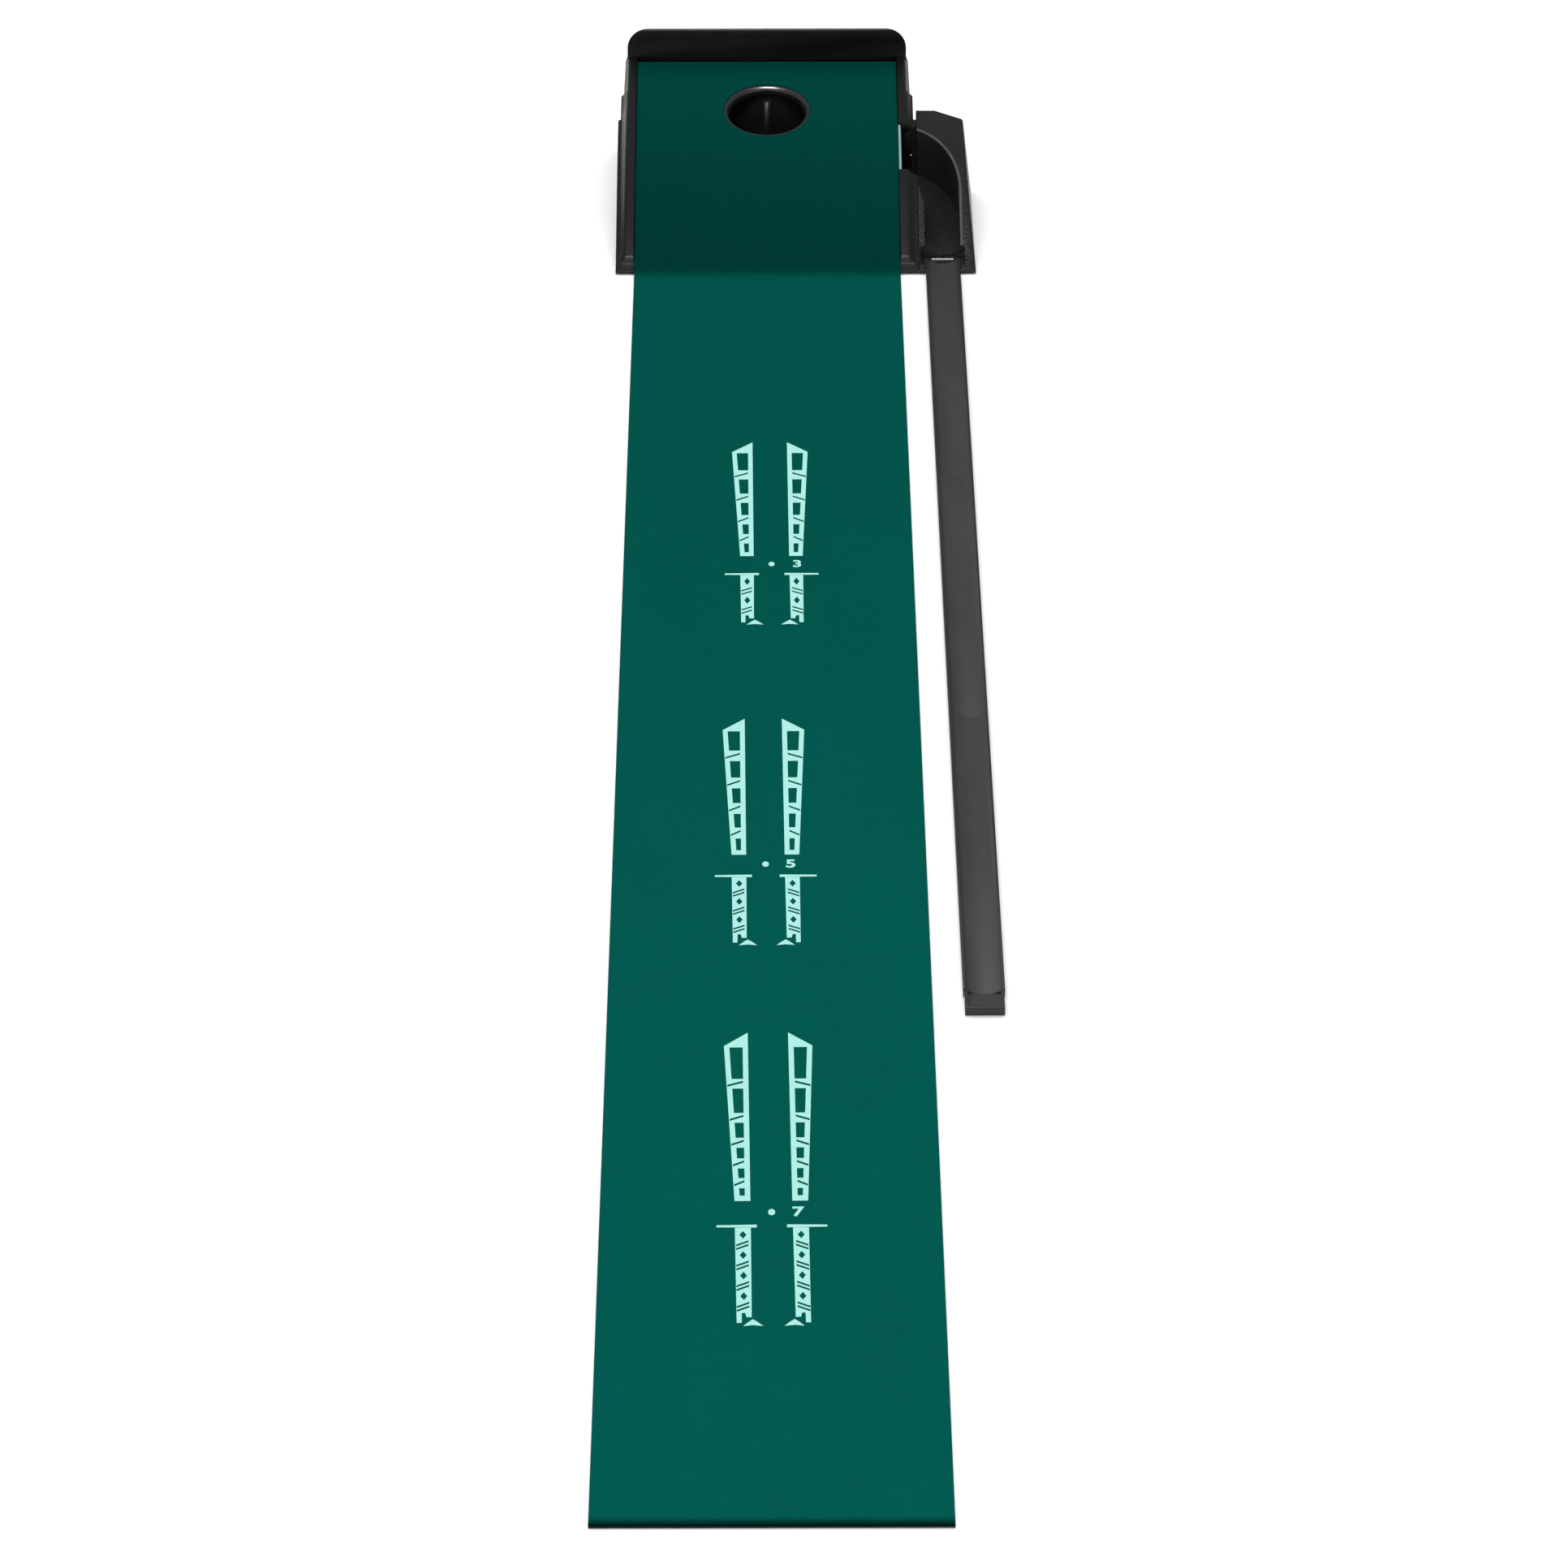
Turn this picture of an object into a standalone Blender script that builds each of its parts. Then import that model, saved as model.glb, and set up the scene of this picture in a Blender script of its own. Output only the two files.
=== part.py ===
"""Practice putting mat with a gravity ball return.

A long printed mat runs up a wedge-shaped ramp to a cup. A ball that drops into the cup rolls along a
gutter under the deck, out through the ramp's side, round a scoop and down a straight track.

Metres, +Z up. The origin is on the floor under the centre of the cup, +Y points away from the player
and +X is the side with the ball return. Distances called "run" start at the ramp's foot and go +Y.
"""
import math

import bmesh
import bpy
from mathutils import Vector

# ---- driving dimensions -------------------------------------------------------------------------
TOUCH_GAP = 0.0003           # clearance between pieces that rest on each other
FOOT_PAD_HEIGHT = 0.0015     # the plastic stands this high on its rubber pads

MAT_WIDTH = 0.306
MAT_FLAT_LENGTH = 2.381      # floor part of the mat, from its front end to the ramp's foot
BACKING_THICKNESS = 0.0018
PILE_THICKNESS = 0.0019

FOOT_TO_CUP = 0.251          # along the floor, foot of the ramp to the cup's centre
RAMP_FRONT = 0.008           # run at which the plastic starts under the mat
MAT_END = 0.346              # run at which the mat ends, in front of the backstop
DECK_END = 0.3497
RAMP_BACK = 0.356
INCLINE_SLOPE = 0.455        # rise over run of the straight incline
INCLINE_RUN = 0.100
CREST_RUN = 0.130            # the slope eases from the incline's to the deck's over this run
DECK_SLOPE = 0.205
FOOT_BEND = 0.010            # half the run over which the mat bends off the floor
BACKING_JOINT_RUN = -0.015   # the backing is in two lengths that meet here, under the unbroken turf

CUP_DIAMETER = 0.1012        # hole in the mat
CUP_LEDGE = 0.0013           # the deck's hole is smaller all round, so its edge shows
DECK_THICKNESS = 0.003
CUP_COLLAR_DEPTH = 0.008
COLLAR_WALL = 0.0025
COLLAR_GAP = 0.0009          # between the collar and the gutter

RAIL_CLEARANCE = 0.0005      # mat edge to rail, each side
RAIL_TOP_WIDTH = 0.0105
RAIL_SHOULDER = 0.0065       # width of the rail's sloping outer face
RAIL_HEIGHT = 0.007          # above the deck
RAIL_START = 0.018
RAIL_RISE_RUN = 0.004        # the rail reaches its full height over this run
RAIL_STUB = 0.04             # share of the rail's height at its front end
RAIL_ROUND = 0.0030          # rounding of the rail's outer top edge
EDGE_ROUND = 0.0015          # rounding of the plastic's outer edges
LEDGE_FILLET = 0.0004        # where the rail's shoulder meets the bare ledge
LEDGE_WIDTH = 0.004          # bare deck outside the rail's shoulder
SIDE_NOTCH_RUN = 0.238       # behind this run the side wall leans in and the ledge narrows
SIDE_NOTCH = 0.003
REAR_NOTCH_RUN = 0.285       # and behind this one it leans in as far as the rail's shoulder
REAR_NOTCH = 0.0072
LEDGE_MINIMUM = 0.0005
WALL_THICKNESS = 0.004
WALL_DRAFT = 0.0025
BACK_WALL = 0.0035
TOE_END = 0.040              # the ramp is solid up to this run
RIB_RUN = 0.118
RIB_THICKNESS = 0.0025

OPENING_START = 0.143        # run of the side opening's near edge
OPENING_END = 0.223
OPENING_SILL = 0.0235

GUTTER_END_INSET = 0.0065    # from the ramp's side to the channel's open end
GUTTER_CUP_ROOM = 0.0054     # beyond the cup's hole to the left, and as far straight past it to the right
GUTTER_FRONT_ROOM = 0.0014   # beyond the cup's hole, towards the player
GUTTER_BACK_ROOM = 0.0024    # and away from them
GUTTER_WALL = 0.0022
GUTTER_FLOOR_LEFT = 0.037    # height of the channel's floor at its two ends
GUTTER_FLOOR_RIGHT = 0.0275
GUTTER_FLOOR_THICKNESS = 0.0025
GUTTER_HEADROOM = 0.0015     # wall top to the deck's underside
LIP_THICKNESS = 0.0022
LIP_MARGIN = 0.0006          # the floor's lip passes through the side opening this far from its ends
RIDGE_SIZE = 0.006           # upright ridge on the channel's rear wall, half its width and its depth
RIDGE_DROP = 0.020           # from the deck's top to the ridge's
EAR_SIZE = 0.014
EAR_THICKNESS = 0.003
EAR_ROOT = 0.004             # an ear reaches this far into the channel's slanting wall
BOSS_RADIUS = 0.0045
GUTTER_SCREW_BITE = 0.010

BACKSTOP_OVERLAP = 0.012     # the fence is wider than the mat by this much on each side
BACKSTOP_BOTTOM = 0.086
BACKSTOP_TOP = 0.155
BACKSTOP_FRONT = 0.350
BACKSTOP_THICKNESS = 0.0045
BACKSTOP_CORNER = 0.0245
CORNER_STEPS = 8
FENCE_EDGE = 0.0012          # rolled edge
FENCE_RIM = 0.008            # rim left round the panel sunk in the fence's back
FENCE_PANEL_DEPTH = 0.0015
TONGUE_DROP = 0.016          # the fence's tongue hangs this far inside the ramp's back wall
TONGUE_INSET = 0.013         # from the mat's edge
BACKSTOP_SCREW_BITE = 0.0060 # thread length inside the tongue and its boss

CHUTE_REACH = 0.0655         # from the ramp's side to the chute's outer edge at the floor
CHUTE_DRAFT = 0.115          # inward lean of the outer wall per unit of height
CHUTE_BACK = 0.255
CHUTE_CORNER_START = 0.0215  # the rear corner is cut off from here, measured from the ramp's side
CHUTE_CORNER_RUN = 0.238
CHUTE_WALL = 0.0028
TROUGH_OFFSET = 0.0273       # from the ramp's side to the trough's middle
TROUGH_SIDE_ROOM = 0.00075   # between the track's outer face and the trough's wall
TROUGH_FRONT = 0.030         # run of the lip over the track
TROUGH_LIP_HEIGHT = 0.0070
TROUGH_SLOPE = 0.030
TROUGH_ROUND = 0.032         # radius of the trough's hollow floor
SCOOP_REACH = 0.072          # half-axes of the scoop's quarter-oval wall, along X and along Y
SCOOP_LENGTH = 0.103
SCOOP_NEAR_INSET = 0.003     # the near wall slants forward from this far inside the ramp's side
SCOOP_NEAR_RUN = 0.100       # and joins the trough's side here
SCOOP_FLOOR_X_SLOPE = 0.10
SCOOP_FLOOR_Y_SLOPE = 0.06
TROUGH_RISE_SLOPE = 0.22     # the trough's hollow climbs into the scoop's floor at this slope
TROUGH_RISE_END = 0.195
POCKET_START = 0.018         # recess beside the track at the chute's front
POCKET_END = 0.043
POCKET_SIDE_ROOM = 0.006     # between the track's outer face and the pocket's wall
POCKET_FLOOR = 0.0035

TRACK_WIDTH = 0.0395
TRACK_HEIGHT = 0.0095
TRACK_RAIL = 0.0026
TRACK_FLOOR = 0.0034         # floor height at the middle of the channel
TRACK_ROUND = 0.036
TRACK_COUNT = 3
TRACK_LENGTH = 0.527         # visible length of one section
TONGUE_LENGTH = 0.020
TONGUE_SIDE_INSET = 0.00675  # from the track's outer face
TRACK_TONGUE_THICKNESS = 0.0013
STOP_LENGTH = 0.012
STOP_SIDE_INSET = 0.001
STOP_HEIGHT = 0.0085
STOP_FLOOR = 0.0042
STOP_WALL = 0.0032
TONGUE_ROOT = 0.006          # a tongue's root reaches this far into its piece
TONGUE_ROOT_DROP = 0.002     # and stays this far under the trough's lip
TRACK_SIDE_GAP = 0.0004
TRACK_STEPS = 8

STRIP_WIDTH = 0.020          # hook strips that hold the mat on the deck
STRIP_INSET = 0.018          # from the mat's edge
STRIP_THICKNESS = 0.0012
STRIP_RUNS = (0.058, 0.322)

SCREW_RADIUS = 0.0015
SCREW_HEAD_RADIUS = 0.0034
SCREW_HEAD_HEIGHT = 0.0020
SCREW_HEAD_EDGE = 0.0005
SCREW_TIP = 0.001
SCREW_BORE_CLEARANCE = 0.0003
THREAD_END_ROOM = 0.0005     # a blind bore goes this far past its screw's tip
PAD_RADIUS = 0.006
PAD_TAPER = 0.0006
POST_RADIUS = 0.008          # posts that carry the rear pads and the pad under the cup
TOE_PAD_INSET = 0.023        # from the mat's edge
TOE_PAD_RUN = 0.024
REAR_PAD_OUTSET = 0.002
REAR_PAD_RUN = 0.336
CHUTE_PAD_INSET = 0.0078     # from the chute's inner wall
CHUTE_PAD_RUN = 0.243
EAR_XS = (-0.040, 0.105)     # screw ears on the gutter, on both sides of it
CHUTE_SCREWS = ((0.066, 0.013), (0.098, 0.020), (0.236, 0.044))   # run and height of each
CHUTE_SCREW_REACH = 0.007    # beyond the ramp's side
CHUTE_SCREW_SHORT = 0.0045   # and beside the trough
BACKSTOP_SCREW_SPREAD = 0.110

# ---- derived places -----------------------------------------------------------------------------
MAT_THICKNESS = BACKING_THICKNESS + TOUCH_GAP + PILE_THICKNESS
RAIL_INNER = MAT_WIDTH / 2 + RAIL_CLEARANCE
RAIL_OUTER = RAIL_INNER + RAIL_TOP_WIDTH
SHOULDER_FOOT = RAIL_OUTER + RAIL_SHOULDER
SIDE = SHOULDER_FOOT + LEDGE_WIDTH
TOE_PAD_X = MAT_WIDTH / 2 - TOE_PAD_INSET
REAR_PAD_X = MAT_WIDTH / 2 + REAR_PAD_OUTSET
STRIP_LENGTH = MAT_WIDTH - 2 * STRIP_INSET
TONGUE_WIDTH = MAT_WIDTH - 2 * TONGUE_INSET
BACKSTOP_WIDTH = MAT_WIDTH + 2 * BACKSTOP_OVERLAP
GUTTER_LEFT = -CUP_DIAMETER / 2 - GUTTER_CUP_ROOM
GUTTER_CUP_END = CUP_DIAMETER / 2 + GUTTER_CUP_ROOM
GUTTER_RIGHT = SIDE - GUTTER_END_INSET
GUTTER_CUP_FRONT = FOOT_TO_CUP - CUP_DIAMETER / 2 - GUTTER_FRONT_ROOM
GUTTER_CUP_BACK = FOOT_TO_CUP + CUP_DIAMETER / 2 + GUTTER_BACK_ROOM
CHUTE_INNER = SIDE + TOUCH_GAP
CHUTE_GROUND_EDGE = SIDE + CHUTE_REACH
CHUTE_CORNER_X = SIDE + CHUTE_CORNER_START
TROUGH_CENTRE = SIDE + TROUGH_OFFSET
TROUGH_WIDTH = TRACK_WIDTH + 2 * TROUGH_SIDE_ROOM
POCKET_WIDTH = TRACK_WIDTH + 2 * POCKET_SIDE_ROOM
TRACK_TONGUE_WIDTH = TRACK_WIDTH - 2 * TONGUE_SIDE_INSET
STOP_WIDTH = TRACK_WIDTH - 2 * STOP_SIDE_INSET
SCOOP_NEAR_X = SIDE - SCOOP_NEAR_INSET
DECK_HOLE_RADIUS = CUP_DIAMETER / 2 - CUP_LEDGE
DECK_ANGLE = math.atan(DECK_SLOPE)
BACK_WALL_TOP = BACKSTOP_BOTTOM - TOUCH_GAP
SCOOP_CENTRE_RUN = OPENING_END - SCOOP_LENGTH
TROUGH_LEFT = TROUGH_CENTRE - TROUGH_WIDTH / 2
TROUGH_RIGHT = TROUGH_CENTRE + TROUGH_WIDTH / 2
SCOOP_CENTRE_X = TROUGH_RIGHT - SCOOP_REACH
FLOOR = FOOT_PAD_HEIGHT
BELOW = -0.005               # cutters start under everything
ABOVE = 0.300
BEYOND = 0.004               # and reach this far past the faces they open
CUP_CUTTER = 0.030           # half the length of the cutter for the cup's hole
CUP_SIDES = 64
SCOOP_MARGIN = 0.0006        # small overlap where the scoop and the trough run into each other
SCOOP_STEPS = 28
TROUGH_STEPS = 10
STEP_RUN = 0.0004            # a step along the ramp is drawn over this much run


def y_of(run):
    """Distance from the ramp's foot, as a Y in the part's own frame."""
    return run - FOOT_TO_CUP


def rise(run):
    """Height of the mat's underside above the floor."""
    if run <= -FOOT_BEND:
        return 0.0
    if run < FOOT_BEND:
        return INCLINE_SLOPE * (run + FOOT_BEND) ** 2 / (4 * FOOT_BEND)
    if run <= INCLINE_RUN:
        return INCLINE_SLOPE * run
    crest = min(run - INCLINE_RUN, CREST_RUN)
    eased = INCLINE_SLOPE * crest + (DECK_SLOPE - INCLINE_SLOPE) * crest ** 2 / (2 * CREST_RUN)
    beyond = max(run - INCLINE_RUN - CREST_RUN, 0.0)
    return INCLINE_SLOPE * INCLINE_RUN + eased + DECK_SLOPE * beyond


def slope(run):
    step = 0.0002
    return (rise(run + step) - rise(run - step)) / (2 * step)


def deck_top(run):
    """Height of the plastic under the mat, and of the bare ledge beside the rails."""
    return rise(run) - TOUCH_GAP * math.hypot(1.0, slope(run))


def spread(start, end, count):
    return [start + (end - start) * i / (count - 1) for i in range(count)]


RAMP_RUNS = ([RAMP_FRONT, FOOT_BEND, RAIL_START - 0.002] + spread(RAIL_START, RAIL_START + 0.0045, 4)
             + [TOE_END, 0.070, INCLINE_RUN] + spread(INCLINE_RUN, INCLINE_RUN + CREST_RUN, 8)[1:])


# ---- materials and mesh helpers -----------------------------------------------------------------
def material(name, colour, roughness, metallic=0.0):
    made = bpy.data.materials.new(name)
    made.use_nodes = True
    shader = made.node_tree.nodes["Principled BSDF"]
    shader.inputs["Base Color"].default_value = (*colour, 1.0)
    shader.inputs["Roughness"].default_value = roughness
    shader.inputs["Metallic"].default_value = metallic
    made.diffuse_color = (*colour, 1.0)
    return made


def add_object(name, mesh, surface=None):
    made = bpy.data.objects.new(name, mesh)
    bpy.context.scene.collection.objects.link(made)
    if surface is not None:
        mesh.materials.append(surface)
    return made


def finish_mesh(name, shape):
    """Turn a bmesh into mesh data with its faces pointing out."""
    bmesh.ops.recalc_face_normals(shape, faces=shape.faces)
    mesh = bpy.data.meshes.new(name)
    shape.to_mesh(mesh)
    shape.free()
    return mesh


def loft(name, sections, surface=None):
    """Closed body through section outlines that all have the same number of points."""
    shape = bmesh.new()
    rings = [[shape.verts.new(point) for point in section] for section in sections]
    count = len(rings[0])
    for near, far in zip(rings, rings[1:]):
        for i in range(count):
            j = (i + 1) % count
            shape.faces.new((near[i], near[j], far[j], far[i]))
    shape.faces.new(rings[0])
    shape.faces.new(rings[-1])
    return add_object(name, finish_mesh(name, shape), surface)


def prism(name, outline, low, high, surface=None):
    """Upright prism of a plan outline; low and high are heights or functions of x and y."""
    def level(height, x, y):
        return height(x, y) if callable(height) else height
    bottom = [Vector((x, y, level(low, x, y))) for x, y in outline]
    top = [Vector((x, y, level(high, x, y))) for x, y in outline]
    return loft(name, [bottom, top], surface)


def box(name, low, high, surface=None):
    outline = [(low[0], low[1]), (high[0], low[1]), (high[0], high[1]), (low[0], high[1])]
    return prism(name, outline, low[2], high[2], surface)


def turned(name, profile, start, axis, surface=None, sides=24):
    """Solid of revolution: profile holds (distance along axis, radius) pairs."""
    along = Vector(axis).normalized()
    frame = along.to_track_quat("Z", "Y").to_matrix()
    sections = []
    for distance, radius in profile:
        ring = []
        for i in range(sides):
            angle = math.tau * i / sides
            offset = frame @ Vector((radius * math.cos(angle), radius * math.sin(angle), 0.0))
            ring.append(Vector(start) + along * distance + offset)
        sections.append(ring)
    made = loft(name, sections, surface)
    smooth(made)
    return made


def rod(name, start, axis, length, radius, surface=None, sides=24):
    return turned(name, [(0.0, radius), (length, radius)], start, axis, surface, sides)


def smooth(target, angle=math.radians(35)):
    target.data.shade_smooth()
    target.data.set_sharp_from_angle(angle=angle)


def hide_tool(tool):
    tool.hide_render = True
    tool.display_type = "WIRE"


def combine(target, tool, operation):
    step = target.modifiers.new(tool.name, "BOOLEAN")
    step.operation = operation
    step.solver = "EXACT"
    step.object = tool
    hide_tool(tool)


def cut(target, *tools):
    for tool in tools:
        combine(target, tool, "DIFFERENCE")


def join(target, *tools):
    for tool in tools:
        combine(target, tool, "UNION")


def cup_axis_point(offset):
    """Point on the cup's axis, which stands square to the deck."""
    return Vector((0.0, -math.sin(DECK_ANGLE) * offset, rise(FOOT_TO_CUP) + math.cos(DECK_ANGLE) * offset))


CUP_AXIS = (0.0, -math.sin(DECK_ANGLE), math.cos(DECK_ANGLE))


# ---- ramp ---------------------------------------------------------------------------------------
def rounded_corner(before, corner, after, radius, steps=3):
    """Points that replace an outline's corner with a curve that leaves both sides at the radius."""
    corner = Vector(corner)
    entry = corner + (Vector(before) - corner).normalized() * radius
    leave = corner + (Vector(after) - corner).normalized() * radius
    points = []
    for i in range(steps + 1):
        t = i / steps
        points.append(tuple(entry * (1 - t) ** 2 + corner * 2 * t * (1 - t) + leave * t ** 2))
    return points


def side_top(run):
    """Half-width of the plastic at the deck's level."""
    if run < SIDE_NOTCH_RUN:
        return SIDE
    return SIDE - (SIDE_NOTCH if run < REAR_NOTCH_RUN else REAR_NOTCH)


def ramp_section(run):
    ledge = deck_top(run)
    grown = min(max((run - RAIL_START) / RAIL_RISE_RUN, RAIL_STUB), 1.0)
    rail = ledge + RAIL_HEIGHT * grown
    edge_x = side_top(run)
    step_x = min(SHOULDER_FOOT, edge_x - LEDGE_MINIMUM)
    foot, edge, step = (SIDE, FLOOR), (edge_x, ledge), (step_x, ledge)
    outer, inner, deck = (RAIL_OUTER, rail), (RAIL_INNER, rail), (RAIL_INNER, ledge)
    half = [foot]
    half += rounded_corner(foot, edge, step, min(EDGE_ROUND, (ledge - FLOOR) / 3, (edge_x - step_x) / 2))
    half += rounded_corner(edge, step, outer, LEDGE_FILLET, 1)
    half += rounded_corner(step, outer, inner, RAIL_ROUND * max(grown, 0.1))
    half += rounded_corner(outer, inner, deck, RAIL_ROUND * 0.4 * grown)
    half += [deck]
    outline = half + [(-x, z) for x, z in reversed(half)]
    return [Vector((x, y_of(run), z)) for x, z in outline]


def ramp_hollow(name, start, end):
    bend = REAR_NOTCH_RUN - WALL_THICKNESS
    runs = [start] + [run for run in RAMP_RUNS + [bend - STEP_RUN, bend] if start < run < end] + [end]
    sections = []
    for run in runs:
        low_x = SIDE - WALL_THICKNESS
        high_x = low_x - WALL_DRAFT if run < bend else SIDE - REAR_NOTCH - WALL_THICKNESS
        roof = deck_top(run) - DECK_THICKNESS
        outline = [(low_x, BELOW), (high_x, roof), (-high_x, roof), (-low_x, BELOW)]
        sections.append([Vector((x, y_of(run), z)) for x, z in outline])
    return loft(name, sections)


def inner_wall_x(height, run):
    """Inner face of the ramp's side wall at a height."""
    roof = deck_top(run) - DECK_THICKNESS
    return SIDE - WALL_THICKNESS - WALL_DRAFT * (height - BELOW) / (roof - BELOW)


CORNER_POSTS = [(side * REAR_PAD_X, REAR_PAD_RUN) for side in (-1, 1)]
EAR_PLACES = [(x, side) for side in ("front", "rear") for x in EAR_XS]
BACKSTOP_SCREW_XS = (-BACKSTOP_SCREW_SPREAD, 0.0, BACKSTOP_SCREW_SPREAD)
BACKSTOP_SCREW_HEIGHT = BACKSTOP_BOTTOM - TONGUE_DROP / 2


def gutter_side(x, side):
    """Run of the channel's inner front or rear side at x: straight past the cup, then slanting forward."""
    share = min(max(x - GUTTER_CUP_END, 0.0) / (GUTTER_RIGHT - GUTTER_CUP_END), 1.0)
    near, far = (GUTTER_CUP_FRONT, OPENING_START) if side == "front" else (GUTTER_CUP_BACK, OPENING_END)
    return near + (far - near) * share


def gutter_floor(x):
    share = (x - GUTTER_LEFT) / (GUTTER_RIGHT - GUTTER_LEFT)
    return GUTTER_FLOOR_LEFT + (GUTTER_FLOOR_RIGHT - GUTTER_FLOOR_LEFT) * share


def ear_centre(x, side):
    outward = -1 if side == "front" else 1
    return gutter_side(x, side) + outward * (GUTTER_WALL + EAR_SIZE / 2)


def ear_top(x):
    return gutter_floor(x) + EAR_THICKNESS / 2


def build_ramp_shell(surface):
    steps = [run for notch in (SIDE_NOTCH_RUN, REAR_NOTCH_RUN) for run in (notch - STEP_RUN, notch)]
    runs = RAMP_RUNS + steps + [RAMP_BACK]
    shell = loft("ramp_shell", [ramp_section(run) for run in runs], surface)
    cut(shell, ramp_hollow("tool_front_bay", TOE_END, RIB_RUN),
        ramp_hollow("tool_rear_bay", RIB_RUN + RIB_THICKNESS, RAMP_BACK - BACK_WALL))
    for i, (x, run) in enumerate(CORNER_POSTS):
        height = deck_top(run) - DECK_THICKNESS / 2 - FLOOR
        join(shell, rod(f"tool_corner_post_{i}", (x, y_of(run), FLOOR), (0, 0, 1), height, POST_RADIUS))
    for i, (x, side) in enumerate(EAR_PLACES):
        run = ear_centre(x, side)
        low = ear_top(x) + TOUCH_GAP
        height = deck_top(run) - DECK_THICKNESS / 2 - low
        join(shell, rod(f"tool_gutter_boss_{i}", (x, y_of(run), low), (0, 0, 1), height, BOSS_RADIUS))
        bore = SCREW_RADIUS + SCREW_BORE_CLEARANCE
        depth = low + GUTTER_SCREW_BITE + 2 * THREAD_END_ROOM - BELOW
        cut(shell, rod(f"tool_gutter_bore_{i}", (x, y_of(run), BELOW), (0, 0, 1), depth, bore))
    collar = DECK_HOLE_RADIUS + COLLAR_WALL
    depth = CUP_COLLAR_DEPTH + DECK_THICKNESS
    join(shell, rod("tool_cup_collar", cup_axis_point(-depth), CUP_AXIS, depth - DECK_THICKNESS / 2,
                    collar, sides=CUP_SIDES))
    cut(shell, rod("tool_cup_hole", cup_axis_point(-CUP_CUTTER), CUP_AXIS, 2 * CUP_CUTTER, DECK_HOLE_RADIUS,
                   sides=CUP_SIDES))
    cut(shell, box("tool_side_opening", (RAIL_INNER - 0.0002, y_of(OPENING_START), OPENING_SILL),
                   (SIDE + BEYOND, y_of(OPENING_END), ABOVE)))
    cut(shell, box("tool_backstop_seat", (-ABOVE, y_of(DECK_END), BACK_WALL_TOP),
                   (ABOVE, y_of(RAMP_BACK) + BEYOND, ABOVE)))
    for i, run in enumerate(STRIP_RUNS):
        cut(shell, strip_block(f"tool_strip_recess_{i}", run, TOUCH_GAP,
                               -(STRIP_THICKNESS + 2 * TOUCH_GAP), BEYOND))
    for i, (run, height) in enumerate(CHUTE_SCREWS):
        start = (SIDE - 3 * WALL_THICKNESS, y_of(run), height)
        cut(shell, rod(f"tool_chute_hole_{i}", start, (1, 0, 0), 3 * WALL_THICKNESS + BEYOND,
                       SCREW_RADIUS + SCREW_BORE_CLEARANCE))
    for i, x in enumerate(BACKSTOP_SCREW_XS):
        start = (x, y_of(RAMP_BACK) + BEYOND, BACKSTOP_SCREW_HEIGHT)
        cut(shell, rod(f"tool_backstop_hole_{i}", start, (0, -1, 0), BEYOND + BACK_WALL + TOUCH_GAP / 2,
                       SCREW_RADIUS + SCREW_BORE_CLEARANCE))
    return shell


def strip_block(name, run, margin, low, high, surface=None):
    """Slab across the deck, square to it, between two distances from the deck's top."""
    angle = math.atan(slope(run))
    centre = Vector((0.0, y_of(run), deck_top(run)))
    along = Vector((0.0, math.cos(angle), math.sin(angle)))
    normal = Vector((0.0, -math.sin(angle), math.cos(angle)))
    sections = []
    for x in (-STRIP_LENGTH / 2 - margin, STRIP_LENGTH / 2 + margin):
        half = STRIP_WIDTH / 2 + margin
        corners = ((-half, low), (half, low), (half, high), (-half, high))
        sections.append([centre + Vector((x, 0, 0)) + along * a + normal * n for a, n in corners])
    return loft(name, sections, surface)


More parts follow.
